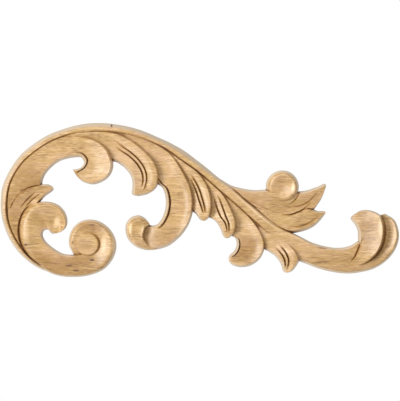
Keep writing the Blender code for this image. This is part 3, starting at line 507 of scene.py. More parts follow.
def second_leaf():
    """The broad fluted leaf with a blunt end that hangs beside the first curl."""
    stations = [
        (66.0, 142.0, 0.46, 63.0, 136.2, 0.56),
        (78.0, 142.0, 0.44, 76.0, 132.8, 0.60),
        (90.0, 144.0, 0.44, 90.0, 131.5, 0.61),
        (100.0, 148.0, 0.44, 104.0, 131.4, 0.62),
        (106.0, 154.0, 0.44, 118.0, 134.0, 0.65),
        (110.4, 160.0, 0.48, 131.0, 140.4, 0.68),
        (117.0, 162.0, 0.52, 140.0, 147.2, 0.74),
        (124.2, 166.7, 0.56, 147.6, 154.4, 0.80),
        (129.0, 172.2, 0.58, 153.4, 161.2, 0.84),
        (132.1, 177.7, 0.60, 157.0, 168.5, 0.86),
        (132.9, 183.2, 0.60, 158.5, 176.0, 0.86),
        (132.8, 188.2, 0.60, 157.4, 183.4, 0.82),
        (132.2, 193.0, 0.58, 155.9, 187.4, 0.76),
        (134.4, 195.2, 0.56, 152.6, 190.9, 0.68),
        (139.4, 196.1, 0.54, 146.4, 194.6, 0.60),
    ]
    flutes = [flute((0.50, 0.38), 2.4, 0.16, 0.32, 0.80), flute((0.66, 0.50), 2.4, 0.16, 0.28, 0.86)]
    bends = [(0, 0.0, 0.0, 0.0), (6, -0.02, -0.02, 0.04), (11, -0.01, 0.0, 0.07), (14, 0.0, 0.0, 0.04)]
    left = rolled((0, 3.2, 0.25))
    right = rolled((0, 1.4, 0.78), (4, 1.6, 0.58), (14, 2.2, 0.35))
    end = rolled((0, 2.4, 0.40))
    return stroke(stations, left, right, bends, flutes, end)


def great_hook():
    """The great leaf that sweeps down and turns in to the left, up to its knob."""
    stations = [
        (104.0, 139.0, 0.44, 104.0, 132.0, 0.52),
        (116.0, 140.0, 0.44, 119.0, 132.4, 0.56),
        (126.0, 145.0, 0.44, 134.0, 135.6, 0.60),
        (136.0, 151.0, 0.44, 149.0, 141.0, 0.62),
        (144.0, 159.0, 0.46, 162.0, 147.4, 0.66),
        (150.0, 168.0, 0.48, 172.6, 156.0, 0.70),
        (153.0, 177.0, 0.48, 181.0, 168.8, 0.78),
        (157.6, 183.6, 0.52, 187.3, 180.3, 0.80),
        (163.0, 188.0, 0.58, 190.9, 189.4, 0.82),
        (165.6, 195.2, 0.60, 192.7, 199.0, 0.83),
        (166.4, 203.0, 0.60, 192.7, 207.8, 0.82),
        (165.3, 211.1, 0.60, 190.7, 218.0, 0.80),
        (162.6, 218.0, 0.60, 186.5, 227.3, 0.76),
        (159.0, 223.4, 0.60, 179.5, 236.5, 0.72),
        (155.5, 225.6, 0.56, 169.0, 245.0, 0.68),
        (152.6, 226.1, 0.52, 157.0, 249.0, 0.62),
        (149.4, 225.4, 0.44, 146.0, 249.6, 0.54),
        (145.0, 222.0, 0.40, 139.0, 247.6, 0.46),
    ]
    beside = fillet("left", 4.4, 2.8, 0.22, 0.36, 0.82)
    bends = [(0, 0.0, 0.0, 0.0), (5, -0.04, -0.08, -0.09), (8, -0.05, -0.11, -0.14),
             (11, -0.05, -0.10, -0.12),
             (14, 0.0, 0.0, 0.0)]
    left = rolled((0, 2.6, 0.25))
    right = rolled((0, 1.4, 0.78), (4, 1.6, 0.58), (9, 2.0, 0.35), (17, 3.0, 0.30))
    return stroke(stations, left, right, bends, [beside])


def hook_knob():
    """The rounded knob at the end of the great hook."""
    stations = [
        (148.0, 221.6, 0.50, 149.8, 224.6, 0.50),
        (143.5, 217.6, 0.62, 147.0, 226.0, 0.66),
        (138.0, 215.8, 0.74, 145.0, 228.0, 0.78),
        (131.0, 218.0, 0.84, 143.8, 230.5, 0.84),
        (126.8, 223.5, 0.86, 143.0, 233.0, 0.82),
        (125.9, 230.0, 0.88, 142.8, 235.5, 0.82),
        (127.8, 237.8, 0.86, 143.2, 238.0, 0.80),
        (132.5, 243.7, 0.82, 144.5, 240.8, 0.80),
        (139.0, 247.8, 0.72, 146.8, 243.6, 0.72),
        (147.0, 249.6, 0.60, 150.4, 246.4, 0.62),
        (156.0, 249.3, 0.50, 157.0, 248.2, 0.52),
    ]
    bends = [(0, 0.0, 0.0, 0.0), (3, 0.0, -0.05, -0.04), (6, 0.0, -0.06, -0.05), (10, 0.0, 0.0, 0.0)]
    return stroke(stations, rolled((0, 7.5, 0.30), power=2.0), rolled((0, 1.4, 0.66)), bends)


def third_leaf():
    """The first of the two slender fluted leaves below the stem."""
    stations = [
        (164.0, 154.0, 0.48, 167.0, 150.0, 0.56),
        (172.0, 164.0, 0.46, 178.0, 157.8, 0.60),
        (179.0, 175.0, 0.46, 188.4, 165.0, 0.62),
        (184.0, 186.0, 0.46, 198.0, 172.2, 0.66),
        (187.0, 196.0, 0.46, 205.6, 182.6, 0.72),
        (189.0, 204.0, 0.46, 209.8, 193.5, 0.82),
        (192.4, 210.4, 0.50, 211.3, 202.5, 0.86),
        (195.4, 213.0, 0.56, 211.0, 210.0, 0.86),
        (198.3, 216.5, 0.60, 209.3, 216.0, 0.80),
        (200.5, 219.6, 0.58, 207.0, 219.2, 0.70),
        (202.6, 220.8, 0.54, 204.2, 220.9, 0.58),
    ]
    flutes = [flute((0.46, 0.48), 2.4, 0.19, 0.30, 0.74), flute((0.62, 0.62), 2.4, 0.20, 0.28, 0.74)]
    bends = [(0, 0.0, 0.0, 0.0), (4, -0.02, 0.0, 0.04), (7, 0.0, 0.02, 0.06), (10, 0.0, 0.0, 0.0)]
    left = rolled((0, 2.2, 0.35))
    right = rolled((0, 1.2, 0.78), (3, 1.6, 0.56), (10, 2.2, 0.35))
    return stroke(stations, left, right, bends, flutes)


def fourth_leaf():
    """The second slender fluted leaf."""
    stations = [
        (190.0, 171.0, 0.48, 194.0, 169.0, 0.56),
        (198.0, 181.0, 0.46, 205.0, 177.6, 0.60),
        (203.0, 191.0, 0.46, 215.0, 186.2, 0.62),
        (205.6, 201.0, 0.46, 224.0, 195.6, 0.64),
        (207.0, 210.0, 0.46, 230.4, 207.8, 0.72),
        (209.8, 217.2, 0.50, 234.0, 216.3, 0.82),
        (215.0, 220.4, 0.56, 235.7, 223.5, 0.86),
        (219.0, 225.4, 0.58, 235.2, 229.8, 0.84),
        (221.7, 231.0, 0.58, 233.0, 234.2, 0.76),
        (223.3, 235.4, 0.56, 229.8, 236.9, 0.66),
        (225.2, 238.0, 0.54, 227.2, 238.3, 0.58),
    ]
    flutes = [flute((0.44, 0.48), 2.4, 0.19, 0.30, 0.80), flute((0.70, 0.60), 2.4, 0.20, 0.28, 0.80)]
    bends = [(0, 0.0, 0.0, 0.0), (4, -0.02, 0.0, 0.04), (7, 0.0, 0.02, 0.06), (10, 0.0, 0.0, 0.0)]
    left = rolled((0, 2.4, 0.30))
    right = rolled((0, 1.2, 0.78), (3, 1.6, 0.56), (10, 2.2, 0.35))
    return stroke(stations, left, right, bends, flutes)


def small_hook():
    """The smaller hooked leaf that turns in to the left below the stem."""
    stations = [
        (208.0, 188.0, 0.48, 213.0, 184.4, 0.56),
        (218.0, 199.0, 0.46, 226.0, 195.6, 0.60),
        (226.0, 210.0, 0.46, 238.0, 206.2, 0.62),
        (229.6, 220.0, 0.46, 249.0, 216.6, 0.64),
        (230.6, 229.0, 0.46, 257.0, 226.6, 0.74),
        (232.2, 235.4, 0.52, 262.4, 236.5, 0.80),
        (235.8, 238.4, 0.58, 264.3, 245.0, 0.81),
        (237.1, 242.2, 0.60, 262.6, 252.8, 0.78),
        (237.0, 246.0, 0.60, 258.0, 260.2, 0.72),
        (235.7, 249.7, 0.60, 250.0, 265.3, 0.68),
        (233.6, 252.5, 0.58, 241.5, 266.8, 0.70),
        (231.2, 254.5, 0.56, 234.0, 265.4, 0.66),
        (229.4, 256.7, 0.54, 229.8, 262.2, 0.60),
        (228.7, 258.4, 0.52, 228.8, 259.8, 0.54),
    ]
    beside = fillet("left", 3.6, 2.2, 0.18, 0.40, 0.84)
    bends = [(0, 0.0, 0.0, 0.0), (4, -0.03, -0.07, -0.08), (6, -0.04, -0.10, -0.13), (9, -0.03, -0.06, -0.07),
             (13, 0.0, 0.0, 0.0)]
    left = rolled((0, 2.4, 0.25))
    right = rolled((0, 1.2, 0.78), (3, 1.6, 0.58), (6, 2.0, 0.35), (13, 2.8, 0.30))
    return stroke(stations, left, right, bends, [beside])


def last_leaf():
    """The short fluted leaf where the stem widens."""
    stations = [
        (246.0, 220.0, 0.48, 252.0, 218.4, 0.54),
        (255.0, 232.0, 0.46, 265.0, 228.0, 0.58),
        (260.6, 243.0, 0.46, 278.0, 236.0, 0.60),
        (265.0, 249.0, 0.50, 287.0, 242.6, 0.62),
        (270.0, 251.8, 0.54, 292.8, 248.2, 0.72),
        (275.6, 256.0, 0.58, 296.8, 254.0, 0.80),
        (279.6, 260.8, 0.58, 298.6, 259.6, 0.80),
        (282.2, 266.0, 0.58, 296.6, 265.0, 0.74),
        (283.5, 270.5, 0.56, 292.0, 270.8, 0.66),
        (285.3, 272.6, 0.54, 287.6, 272.8, 0.58),
    ]
    flutes = [flute((0.48, 0.20), 2.4, 0.19, 0.18, 0.88), flute((0.74, 0.38), 2.4, 0.20, 0.16, 0.86)]
    bends = [(0, 0.0, 0.0, 0.0), (4, 0.0, 0.0, 0.04), (6, 0.0, 0.02, 0.07), (9, 0.0, 0.0, 0.0)]
    left = rolled((0, 2.8, 0.30))
    right = rolled((0, 1.4, 0.78), (3, 1.6, 0.58), (9, 2.4, 0.35))
    return stroke(stations, left, right, bends, flutes)


def right_stem():
    """The stem to the right, which rises at its end and winds round the terminal scroll."""
    stations = [
        (250.0, 205.5, 0.48, 246.0, 214.0, 0.46),
        (262.0, 215.4, 0.56, 254.0, 224.0, 0.52),
        (274.0, 224.2, 0.62, 260.4, 236.6, 0.54),
        (284.0, 229.8, 0.64, 267.0, 248.0, 0.52),
        (293.2, 233.9, 0.64, 280.0, 254.6, 0.52),
        (301.0, 237.6, 0.64, 295.0, 259.4, 0.54),
        (311.0, 242.7, 0.64, 305.0, 262.8, 0.58),
        (322.0, 246.2, 0.64, 318.0, 267.8, 0.58),
        (334.0, 248.4, 0.62, 332.0, 271.4, 0.56),
        (344.0, 248.1, 0.60, 347.0, 273.1, 0.56),
        (351.5, 246.0, 0.56, 361.0, 271.7, 0.56),
        (356.5, 242.8, 0.50, 374.0, 268.2, 0.58),
        (362.0, 240.0, 0.42, 385.5, 261.0, 0.62),
        (369.0, 237.0, 0.46, 394.2, 250.8, 0.74),
        (374.0, 232.0, 0.46, 398.5, 239.0, 0.80),
        (376.5, 226.0, 0.46, 397.8, 228.6, 0.78),
        (377.5, 220.0, 0.46, 393.8, 219.6, 0.70),
        (378.0, 215.8, 0.42, 385.0, 213.9, 0.56),
    ]
    left = rolled((0, 1.4, 0.80), (4, 1.8, 0.50), (6, 2.2, 0.35), (17, 2.2, 0.40))
    right = rolled((0, 2.0, 0.70), (4, 2.4, 0.50), (6, 3.4, 0.30), (17, 3.6, 0.30), power=1.7)
    bends = [(0, 0.0, 0.0, 0.0), (6, 0.03, 0.03, 0.02), (9, 0.0, 0.0, 0.0), (12, -0.05, -0.08, -0.05),
             (14, -0.08, -0.14, -0.13), (16, -0.05, -0.09, -0.10), (17, 0.0, 0.0, 0.0)]
    return stroke(stations, left, right, bends)


def terminal_scroll():
    """The raised lobe that curls in at the right end."""
    stations = [
        (344.0, 263.6, 0.48, 350.0, 267.6, 0.48),
        (353.0, 259.4, 0.62, 364.0, 264.0, 0.62),
        (357.0, 251.8, 0.70, 374.2, 256.0, 0.90),
        (359.3, 245.0, 0.66, 379.6, 248.4, 0.980),
        (358.9, 238.0, 0.62, 382.7, 239.8, 1.032),
        (358.7, 231.2, 0.62, 383.7, 230.6, 1.042),
        (356.8, 226.1, 0.62, 382.6, 222.5, 1.016),
        (354.6, 222.8, 0.60, 379.4, 214.9, 0.96),
        (353.0, 220.9, 0.58, 370.0, 210.7, 0.76),
        (352.1, 219.6, 0.56, 361.0, 210.9, 0.66),
        (351.4, 218.6, 0.54, 354.4, 214.5, 0.58),
        (351.0, 218.0, 0.52, 351.6, 217.0, 0.54),
    ]
    left = rolled((0, 2.6, 0.50), (3, 2.6, 0.40), (11, 2.6, 0.40))
    right = rolled((0, 2.0, 0.60), (2, 2.2, 0.40), (7, 2.2, 0.40), (11, 2.4, 0.50))
    bends = [(0, 0.0, 0.0, 0.0), (2, -0.02, -0.03, -0.02), (5, -0.035, -0.05, -0.045),
             (8, -0.02, -0.04, -0.03), (11, 0.0, 0.0, 0.0)]
    return stroke(stations, left, right, bends)


def upper_leaf():
    """The upper pointed leaf above the stem."""
    stations = [
        (221.0, 179.6, 0.46, 226.0, 188.0, 0.46),
        (231.0, 185.7, 0.52, 233.5, 193.4, 0.50),
        (242.0, 188.9, 0.58, 243.0, 198.8, 0.50),
        (254.0, 190.6, 0.64, 254.0, 203.8, 0.50),
        (266.0, 190.2, 0.70, 265.0, 208.8, 0.50),
        (278.0, 191.0, 0.72, 276.0, 213.2, 0.50),
        (290.0, 192.6, 0.64, 288.0, 215.4, 0.50),
        (299.0, 192.0, 0.56, 298.0, 213.0, 0.52),
        (307.0, 190.9, 0.58, 306.5, 209.2, 0.54),
        (313.5, 188.7, 0.60, 313.0, 209.4, 0.56),
        (318.5, 187.0, 0.60, 317.5, 204.4, 0.56),
        (322.0, 185.3, 0.58, 321.6, 198.0, 0.56),
        (324.6, 184.3, 0.54, 324.5, 190.9, 0.54),
        (326.0, 184.9, 0.50, 325.9, 187.0, 0.50),
    ]
    bends = [(0, 0.0, 0.0, 0.0), (4, -0.02, -0.05, -0.03), (9, 0.02, -0.02, -0.02), (13, 0.0, 0.0, 0.0)]
    right = rolled((0, 2.2, 0.80), (5, 2.2, 0.84), (7.5, 2.2, 0.50), (13, 2.2, 0.45))
    return stroke(stations, rolled((0, 2.6, 0.30)), right, bends)


def lower_leaf():
    """The lower pointed leaf above the stem."""
    stations = [
        (236.0, 194.6, 0.46, 244.0, 203.0, 0.44),
        (253.0, 202.0, 0.50, 257.0, 213.6, 0.50),
        (268.0, 209.0, 0.54, 269.6, 223.4, 0.54),
        (280.0, 213.4, 0.56, 280.6, 229.6, 0.56),
        (289.0, 214.7, 0.58, 291.0, 232.5, 0.58),
        (298.0, 212.2, 0.60, 300.3, 231.3, 0.62),
        (306.0, 208.4, 0.60, 308.0, 229.0, 0.62),
        (312.6, 209.6, 0.60, 314.6, 225.4, 0.62),
        (318.0, 211.5, 0.58, 319.6, 220.6, 0.60),
        (322.6, 211.6, 0.54, 323.2, 216.2, 0.56),
        (325.4, 211.9, 0.50, 325.6, 212.8, 0.52),
    ]
    bends = [(0, 0.0, 0.0, 0.0), (5, 0.0, -0.03, -0.02), (10, 0.0, 0.0, 0.0)]
    left = rolled((0, 2.0, 0.60), (1, 2.0, 0.80), (3, 2.0, 0.84), (4, 2.0, 0.50), (10, 2.0, 0.45))
    return stroke(stations, left, rolled((0, 2.8, 0.30)), bends)


def ball():
    """The round boss above the pointed leaves."""
    edge = rolled((0, 5.4, 0.30), power=2.0)
    return button((282.4, 186.9), 15.9, edge, 0.88, 0.58, lean=(0.86, -0.5), dish=0.11)


STROKES = (
    first_curl,
    outer_rim,
    small_leaf,
    volute_band,
    lower_lobe,
    volute_eye,
    second_leaf,
    great_hook,
    hook_knob,
    third_leaf,
    fourth_leaf,
    small_hook,
    last_leaf,
    right_stem,
    terminal_scroll,
    upper_leaf,
    lower_leaf,
    ball,
)


# Lines cut into the joined carving. Each has its width and depth in squares of the sheet, and its points.
CUT_LINES = {
    "rim_line": (3.0, 2.2, [
        (50.0, 269.6), (45.9, 267.5), (39.0, 264.1), (31.6, 258.9), (24.7, 252.4), (18.9, 244.9),
        (14.2, 237.0), (10.3, 228.4), (7.6, 218.7), (6.5, 210.0), (6.8, 201.0), (7.8, 192.4),
        (9.8, 184.3), (13.2, 176.6), (18.2, 168.4), (24.6, 160.4), (31.0, 154.8), (38.6, 148.8),
        (46.9, 143.6), (56.0, 139.2), (66.0, 135.4), (76.0, 132.9)]),
    "stem_lower_line": (2.4, 1.5, [
        (128.0, 133.6), (142.3, 137.9), (152.0, 141.9), (161.5, 146.4), (171.0, 152.2), (184.0, 161.6),
        (193.3, 168.0), (203.0, 175.7), (213.0, 184.4), (220.6, 191.0), (228.3, 197.6), (236.0, 204.3),
        (243.6, 211.0), (253.8, 220.2), (264.0, 229.3), (268.0, 232.8)]),
    "stem_upper_line": (2.4, 1.5, [
        (226.0, 183.6), (231.8, 187.8), (238.5, 193.7), (245.0, 199.6), (251.3, 204.3), (257.0, 209.4),
        (264.5, 215.9), (271.6, 221.7), (279.0, 226.7), (286.0, 230.2), (292.0, 233.0)]),
    "small_leaf_line": (3.2, 3.8, [
        (43.4, 185.2), (37.0, 186.0), (30.0, 187.8), (23.8, 191.0), (17.6, 196.2), (13.2, 202.0),
        (10.2, 208.6)]),
    "first_vein": (2.4, 1.9, [(35.4, 192.4), (30.6, 196.4), (25.6, 201.4), (20.6, 207.6)]),
    "second_vein": (2.4, 1.9, [(39.6, 194.0), (34.6, 197.8), (30.0, 202.0), (25.4, 207.2)]),
    "lobe_line": (3.2, 3.2, [
        (29.4, 205.6), (25.0, 209.6), (21.2, 216.4), (19.1, 225.0), (18.8, 233.6), (20.3, 241.8),
        (23.6, 249.6), (28.2, 256.0), (32.4, 260.4)]),
    "terminal_line": (2.6, 1.5, [
        (381.4, 214.8), (383.8, 220.4), (385.0, 226.6), (385.2, 232.6), (384.4, 239.8), (381.8, 247.6),
        (377.0, 254.8), (370.4, 260.6), (363.0, 264.6)]),
    "tongue_line": (2.8, 2.2, [
        (362.4, 239.0), (360.2, 244.6), (357.6, 251.0), (354.4, 257.4), (350.6, 261.6)]),
    "leaf_groove": (2.8, 1.4, [
        (286.0, 207.4), (292.0, 207.2), (299.0, 206.2), (305.0, 204.0), (310.4, 200.4), (315.0, 195.6),
        (319.0, 191.0)]),
    "leaf_joint": (2.6, 1.6, [
        (282.0, 215.6), (288.4, 215.4), (295.0, 213.4), (301.0, 210.8), (307.0, 206.6), (310.6, 202.6)]),
    "leaf_root_line": (2.2, 1.0, [(245.6, 200.6), (250.4, 204.4), (256.0, 207.4), (262.0, 209.6)]),
    "lower_leaf_line": (2.4, 1.2, [
        (286.0, 226.6), (292.0, 226.9), (300.0, 226.4), (308.0, 223.6), (314.0, 219.6), (318.4, 215.6)]),
    "ball_line": (2.6, 1.6, [
        (299.2, 189.4), (298.6, 194.4), (296.4, 198.6), (293.0, 202.2), (288.6, 204.6)]),
    "top_line": (3.0, 0.8, [
        (62.0, 136.6), (70.0, 133.8), (80.4, 132.4), (95.7, 131.6), (111.0, 131.8), (121.0, 133.2),
        (132.0, 135.6)]),
}


def cutter(carving, name, width, depth, points):
    """What is cut away above a V-shaped line that follows the height of the carving."""
    tree = BVHTree.FromObject(carving, bpy.context.evaluated_depsgraph_get())
    unit = LENGTH / SHEET_SPAN
    rows = smooth_rows(points, bpy.context.scene.applique_sizes.rows)
    along_line = np.gradient(rows, axis=0)
    along_line /= np.linalg.norm(along_line, axis=1)[:, None]
    tops = []
    for index, row in enumerate(rows):
        taper = math.sin(math.pi * min(max(index / (len(rows) - 1), CUT_END), 1 - CUT_END)) ** 0.5
        beside = np.array([along_line[index][1], -along_line[index][0]]) * width / 2 * max(taper, 0.5)
        line = []
        for share in np.linspace(-1.0, 1.0, CUT_COLUMNS):
            x, y = row + beside * share
            left, _, up = place(x, y, 0.0)
            hit = tree.ray_cast(Vector((left, -2 * DEPTH, up)), Vector((0.0, 1.0, 0.0)))[0]
            height = -hit.y / DEPTH if hit else 0.0
            fall = depth * unit / DEPTH * taper * (1 - abs(share)) ** CUT_POWER
            line.append((x, y, height - fall + (CUT_CLEARANCE if abs(share) == 1.0 else 0.0)))
        tops.append(line)
    return strip_piece(name, np.array(tops), -CUT_REACH * DEPTH)


def strip_piece(name, tops, base=BACK_ALLOWANCE):
    """A closed strip between rows of points and a base plane: a grid that is raised to its heights."""
    rows, columns = tops.shape[:2]
    bpy.ops.object.select_all(action="DESELECT")
    bpy.ops.mesh.primitive_grid_add(x_subdivisions=columns - 1, y_subdivisions=rows - 1, size=1.0)
    piece = bpy.context.object
    piece.name = name
    data = piece.data
    points = np.array([place(*point) for point in tops.reshape(-1, 3)])
    lift = data.attributes.new("lift", "FLOAT", "POINT")
    lift.data.foreach_set("value", -points[:, 1])
    points[:, 1] = base
    data.vertices.foreach_set("co", points.ravel())
    bpy.ops.object.mode_set(mode="EDIT")
    bpy.ops.mesh.select_all(action="SELECT")
    bpy.ops.mesh.extrude_region_move(TRANSFORM_OT_translate={"value": (0.0, -DEPTH, 0.0)})
    bpy.ops.object.mode_set(mode="OBJECT")
    count = len(data.vertices)
    raised = np.zeros(count, dtype=bool)
    data.vertices.foreach_get("select", raised)
    heights = np.zeros(count)
    data.attributes["lift"].data.foreach_get("value", heights)
    places = np.zeros(count * 3)
    data.vertices.foreach_get("co", places)
    places = places.reshape(-1, 3)
    places[raised, 1] = -heights[raised]
    data.vertices.foreach_set("co", places.ravel())
    data.attributes.remove(data.attributes["lift"])
    bpy.ops.object.mode_set(mode="EDIT")
    bpy.ops.mesh.select_all(action="SELECT")
    bpy.ops.mesh.remove_doubles(threshold=1e-7)
    bpy.ops.mesh.normals_make_consistent(inside=False)
    bpy.ops.object.mode_set(mode="OBJECT")
    return piece


def join_with(carving, tool, operation):
    """Joins a tool to the carving, or cuts it away, and removes the tool."""
    modifier = carving.modifiers.new("cut", "BOOLEAN")
    modifier.operation = operation
    modifier.object = tool
    modifier.solver = "MANIFOLD"
    bpy.context.view_layer.objects.active = carving
    bpy.ops.object.modifier_apply(modifier=modifier.name)
    bpy.data.objects.remove(tool, do_unlink=True)


def largest_part(carving):
    """The carving without the slivers that cutting leaves loose."""
    name = carving.name
    bpy.ops.object.select_all(action="DESELECT")
    carving.select_set(True)
    bpy.context.view_layer.objects.active = carving
    bpy.ops.mesh.separate(type="LOOSE")
    parts = sorted(bpy.context.selected_objects, key=lambda part: len(part.data.vertices))
    for part in parts[:-1]:
        bpy.data.objects.remove(part, do_unlink=True)
    parts[-1].name = name
    return parts[-1]


def height_map(carving):
    """The height of the carving over a fine grid of its plan, with its corner and its size."""
    tree = BVHTree.FromObject(carving, bpy.context.evaluated_depsgraph_get())
    low, high = CAD_BOX
    across = np.arange(low.x - MAP_MARGIN, high.x + MAP_MARGIN, MAP_PITCH)
    up = np.arange(low.z - MAP_MARGIN, high.z + MAP_MARGIN, MAP_PITCH)
    heights = np.full((len(up), len(across)), np.nan)
    inward = Vector((0.0, 1.0, 0.0))
    for row, z in enumerate(up):
        for column, x in enumerate(across):
            hit = tree.ray_cast(Vector((x, -2 * DEPTH, z)), inward)[0]
            if hit:
                heights[row, column] = -hit.y
    return heights, across[0], up[0]


def blurred(values, reach):
    """A map smoothed over a reach in both directions."""
    half = int(math.ceil(3 * reach / MAP_PITCH))
    offsets = np.arange(-half, half + 1) * MAP_PITCH
    weights = np.exp(-0.5 * (offsets / reach) ** 2)
    weights /= weights.sum()
    smooth = np.apply_along_axis(np.convolve, 0, values, weights, mode="same")
    return np.apply_along_axis(np.convolve, 1, smooth, weights, mode="same")


def spread_over(values, extreme):
    """The greatest or the least of a map's values within the groove radius of each cell."""
    half = int(math.ceil(GROOVE_RADIUS / MAP_PITCH))
    padded = np.pad(values, half, mode="edge")
    result = values
    for down in range(-half, half + 1):
        for right in range(-half, half + 1):
            if math.hypot(down, right) * MAP_PITCH <= GROOVE_RADIUS:
                moved = padded[half + down:half + down + values.shape[0],
                               half + right:half + right + values.shape[1]]
                result = extreme(result, moved)
    return result


def read_map(values, column, row):
    """The values of a map at places between its cells."""
    c = np.clip(column.astype(int), 0, values.shape[1] - 2)
    r = np.clip(row.astype(int), 0, values.shape[0] - 2)
    right = np.clip(column - c, 0.0, 1.0)
    up = np.clip(row - r, 0.0, 1.0)
    low = values[r, c] * (1 - right) + values[r, c + 1] * right
    high = values[r + 1, c] * (1 - right) + values[r + 1, c + 1] * right
    return low * (1 - up) + high * up


def ramp(share, start, span):
    """From 0 to 1 over a span of shares."""
    return np.clip((share - start) / span, 0.0, 1.0)


def mark_shade_and_sheen(carving):
    """Store on each point its depth in a groove, its depth below the mean of what is around it and its
    nearness to the outline. The finish paints shade in the grooves and at the foot of steps by the first two,
    and a pale sheen on the steep sides by the last.
    """
    heights, left, bottom = height_map(carving)
    solid = ~np.isnan(heights)
    heights = np.where(solid, heights, 0.0)
    closed = spread_over(spread_over(heights, np.maximum), np.minimum)
    share = blurred(solid.astype(float), FOOT_REACH)
    mean = blurred(heights, FOOT_REACH) / np.maximum(share, 1e-3)
    inside = ramp(share, *INSIDE_RAMP)
    border = ramp(blurred(solid.astype(float), 2 * FOOT_REACH), *BORDER_RAMP)
    data = carving.data
    places = np.zeros(len(data.vertices) * 3)
    data.vertices.foreach_get("co", places)
    places = places.reshape(-1, 3)
    column = (places[:, 0] - left) / MAP_PITCH
    row = (places[:, 2] - bottom) / MAP_PITCH
    depths = {
        "groove": read_map(closed, column, row) + places[:, 1],
        "foot": (read_map(mean, column, row) + places[:, 1]) * read_map(inside, column, row),
        "border": 1 - read_map(border, column, row),
    }
    for name, depth in depths.items():
        attribute = data.attributes.new(name, "FLOAT", "POINT")
        attribute.data.foreach_set("value", np.where(places[:, 1] < -BACK_ZONE, np.maximum(depth, 0.0), 0.0))


class AppliqueSizes(bpy.types.PropertyGroup):
    """How finely the carving is cut."""

    rows: bpy.props.IntProperty(
        name="Rows", description="Rows of points from one station of a stroke to the next", default=8, min=2)
    columns: bpy.props.IntProperty(
        name="Columns", description="Columns of points across the open part of a stroke", default=8, min=2)
    disc_steps: bpy.props.IntProperty(
        name="Disc steps", description="Points along each side of the grid on a round boss",
        default=44, min=8)
    sharp_angle: bpy.props.FloatProperty(
        name="Sharp angle", description="Edges steeper than this stay sharp", default=math.radians(38.0),
        subtype="ANGLE", unit="ROTATION")


def wood_colour(name, description, default):
    """A colour of the finish."""
    return bpy.props.FloatVectorProperty(
        name=name, description=description, subtype="COLOR", size=4, default=default, min=0.0, max=1.0)


class AppliqueFinish(bpy.types.PropertyGroup):
    """The colours of the wood, and of the shade, sheen and highlights painted on it."""

    light_wood: wood_colour("Light wood", "Colour between the grain lines", (0.62, 0.408, 0.178, 1.0))
    dark_wood: wood_colour("Dark wood", "Colour of the grain lines", (0.28, 0.142, 0.040, 1.0))
    warm_wood: wood_colour("Warm wood", "Colour of the warmer patches", (0.56, 0.345, 0.190, 1.0))
    gold_wood: wood_colour("Gold wood", "Colour of the golden streaks", (0.43, 0.256, 0.070, 1.0))
    # A darker gold of the wood, partly used as painted shade on parts the lights leave too bright
    shade_wood: wood_colour(
        "Golden shade", "What the wood is multiplied by where it is a darker gold", (0.71, 0.62, 0.45, 1.0))
    # Painted sheen: the steep outer sides turned paler and greyer, standing for the white surroundings
    # mirrored at a grazing angle
    painted_sheen_wood: wood_colour("Sides", "Colour of the steep sides", (0.66, 0.53, 0.38, 1.0))
    mark_wood: wood_colour("Marks", "Colour of the small dark marks", (0.105, 0.038, 0.006, 1.0))
    # Pale wood, mostly laid on as painted highlights where slopes face the light
    pale_and_highlight_wood: wood_colour("Pale wood", "Colour of the pale streaks", (0.80, 0.58, 0.35, 1.0))
    # Painted shade: a dark brown laid into the grooves and at the foot of steps, where shadow falls
    painted_shade_wood: wood_colour("Grooves", "Colour in the bottom of the grooves", (0.22, 0.085, 0.010, 1.0))
    roughness: bpy.props.FloatProperty(
        name="Roughness", description="How matt the wood is", default=0.44, min=0.0, max=1.0)
    gloss: bpy.props.FloatProperty(
        name="Gloss", description="How strongly the finish mirrors its surroundings",
        default=0.85, min=0.0, max=1.0)


class AppliqueStage(bpy.types.PropertyGroup):
    """The camera and the lights."""

    lens: bpy.props.FloatProperty(
        name="Lens", description="Focal length of the camera in millimetres", default=400.0, subtype="NONE")
    key_power: bpy.props.FloatProperty(
        name="Main light", description="Power of the soft light at the left", default=34.0, unit="POWER")
    top_power: bpy.props.FloatProperty(
        name="Top light", description="Power of the soft light above", default=15.0, unit="POWER")
    ambient: bpy.props.FloatProperty(
        name="Surroundings", description="How strongly the white surroundings light the wood", default=0.55,
        min=0.0, max=1.0)


class APPLIQUE_OT_carve(bpy.types.Operator):
    """Carve the applique: every stroke is joined to the first, and the back is cut flat."""

    bl_idname = "applique.carve"
    bl_label = "Carve the applique"

    def execute(self, context):
        """Build the carving."""
        sizes = context.scene.applique_sizes
        carving = strip_piece("applique_carving", STROKES[0]())
        for maker in STROKES[1:]:
            join_with(carving, strip_piece(maker.__name__, maker()), "UNION")
        for name, (width, depth, points) in CUT_LINES.items():
            join_with(carving, cutter(carving, name, width, depth, points), "DIFFERENCE")
        bpy.ops.mesh.primitive_cube_add(size=1.0, location=(0.0, LENGTH / 4, 0.0),
                                        scale=(2 * LENGTH, LENGTH / 2, 2 * LENGTH))
        bpy.ops.object.transform_apply(location=True, rotation=True, scale=True)
        join_with(carving, bpy.context.object, "DIFFERENCE")
        carving = largest_part(carving)
        bpy.ops.object.select_all(action="DESELECT")
        carving.select_set(True)
        bpy.context.view_layer.objects.active = carving
        bpy.ops.object.shade_smooth_by_angle(angle=sizes.sharp_angle)
        mark_shade_and_sheen(carving)
        if not carving.data.polygons:
            raise RuntimeError("the carving has no faces")
        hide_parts("carved_scroll")
        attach(carving, "root")
        return {"FINISHED"}


class APPLIQUE_OT_finish(bpy.types.Operator):
    """Give the carving its beech."""

    bl_idname = "applique.finish"
    bl_label = "Finish in beech"

    def execute(self, context):
        """Assign the material."""
        carving = bpy.data.objects["applique_carving"]
        carving.data.materials.clear()
        carving.data.materials.append(beech_material(context.scene.applique_finish))
        return {"FINISHED"}


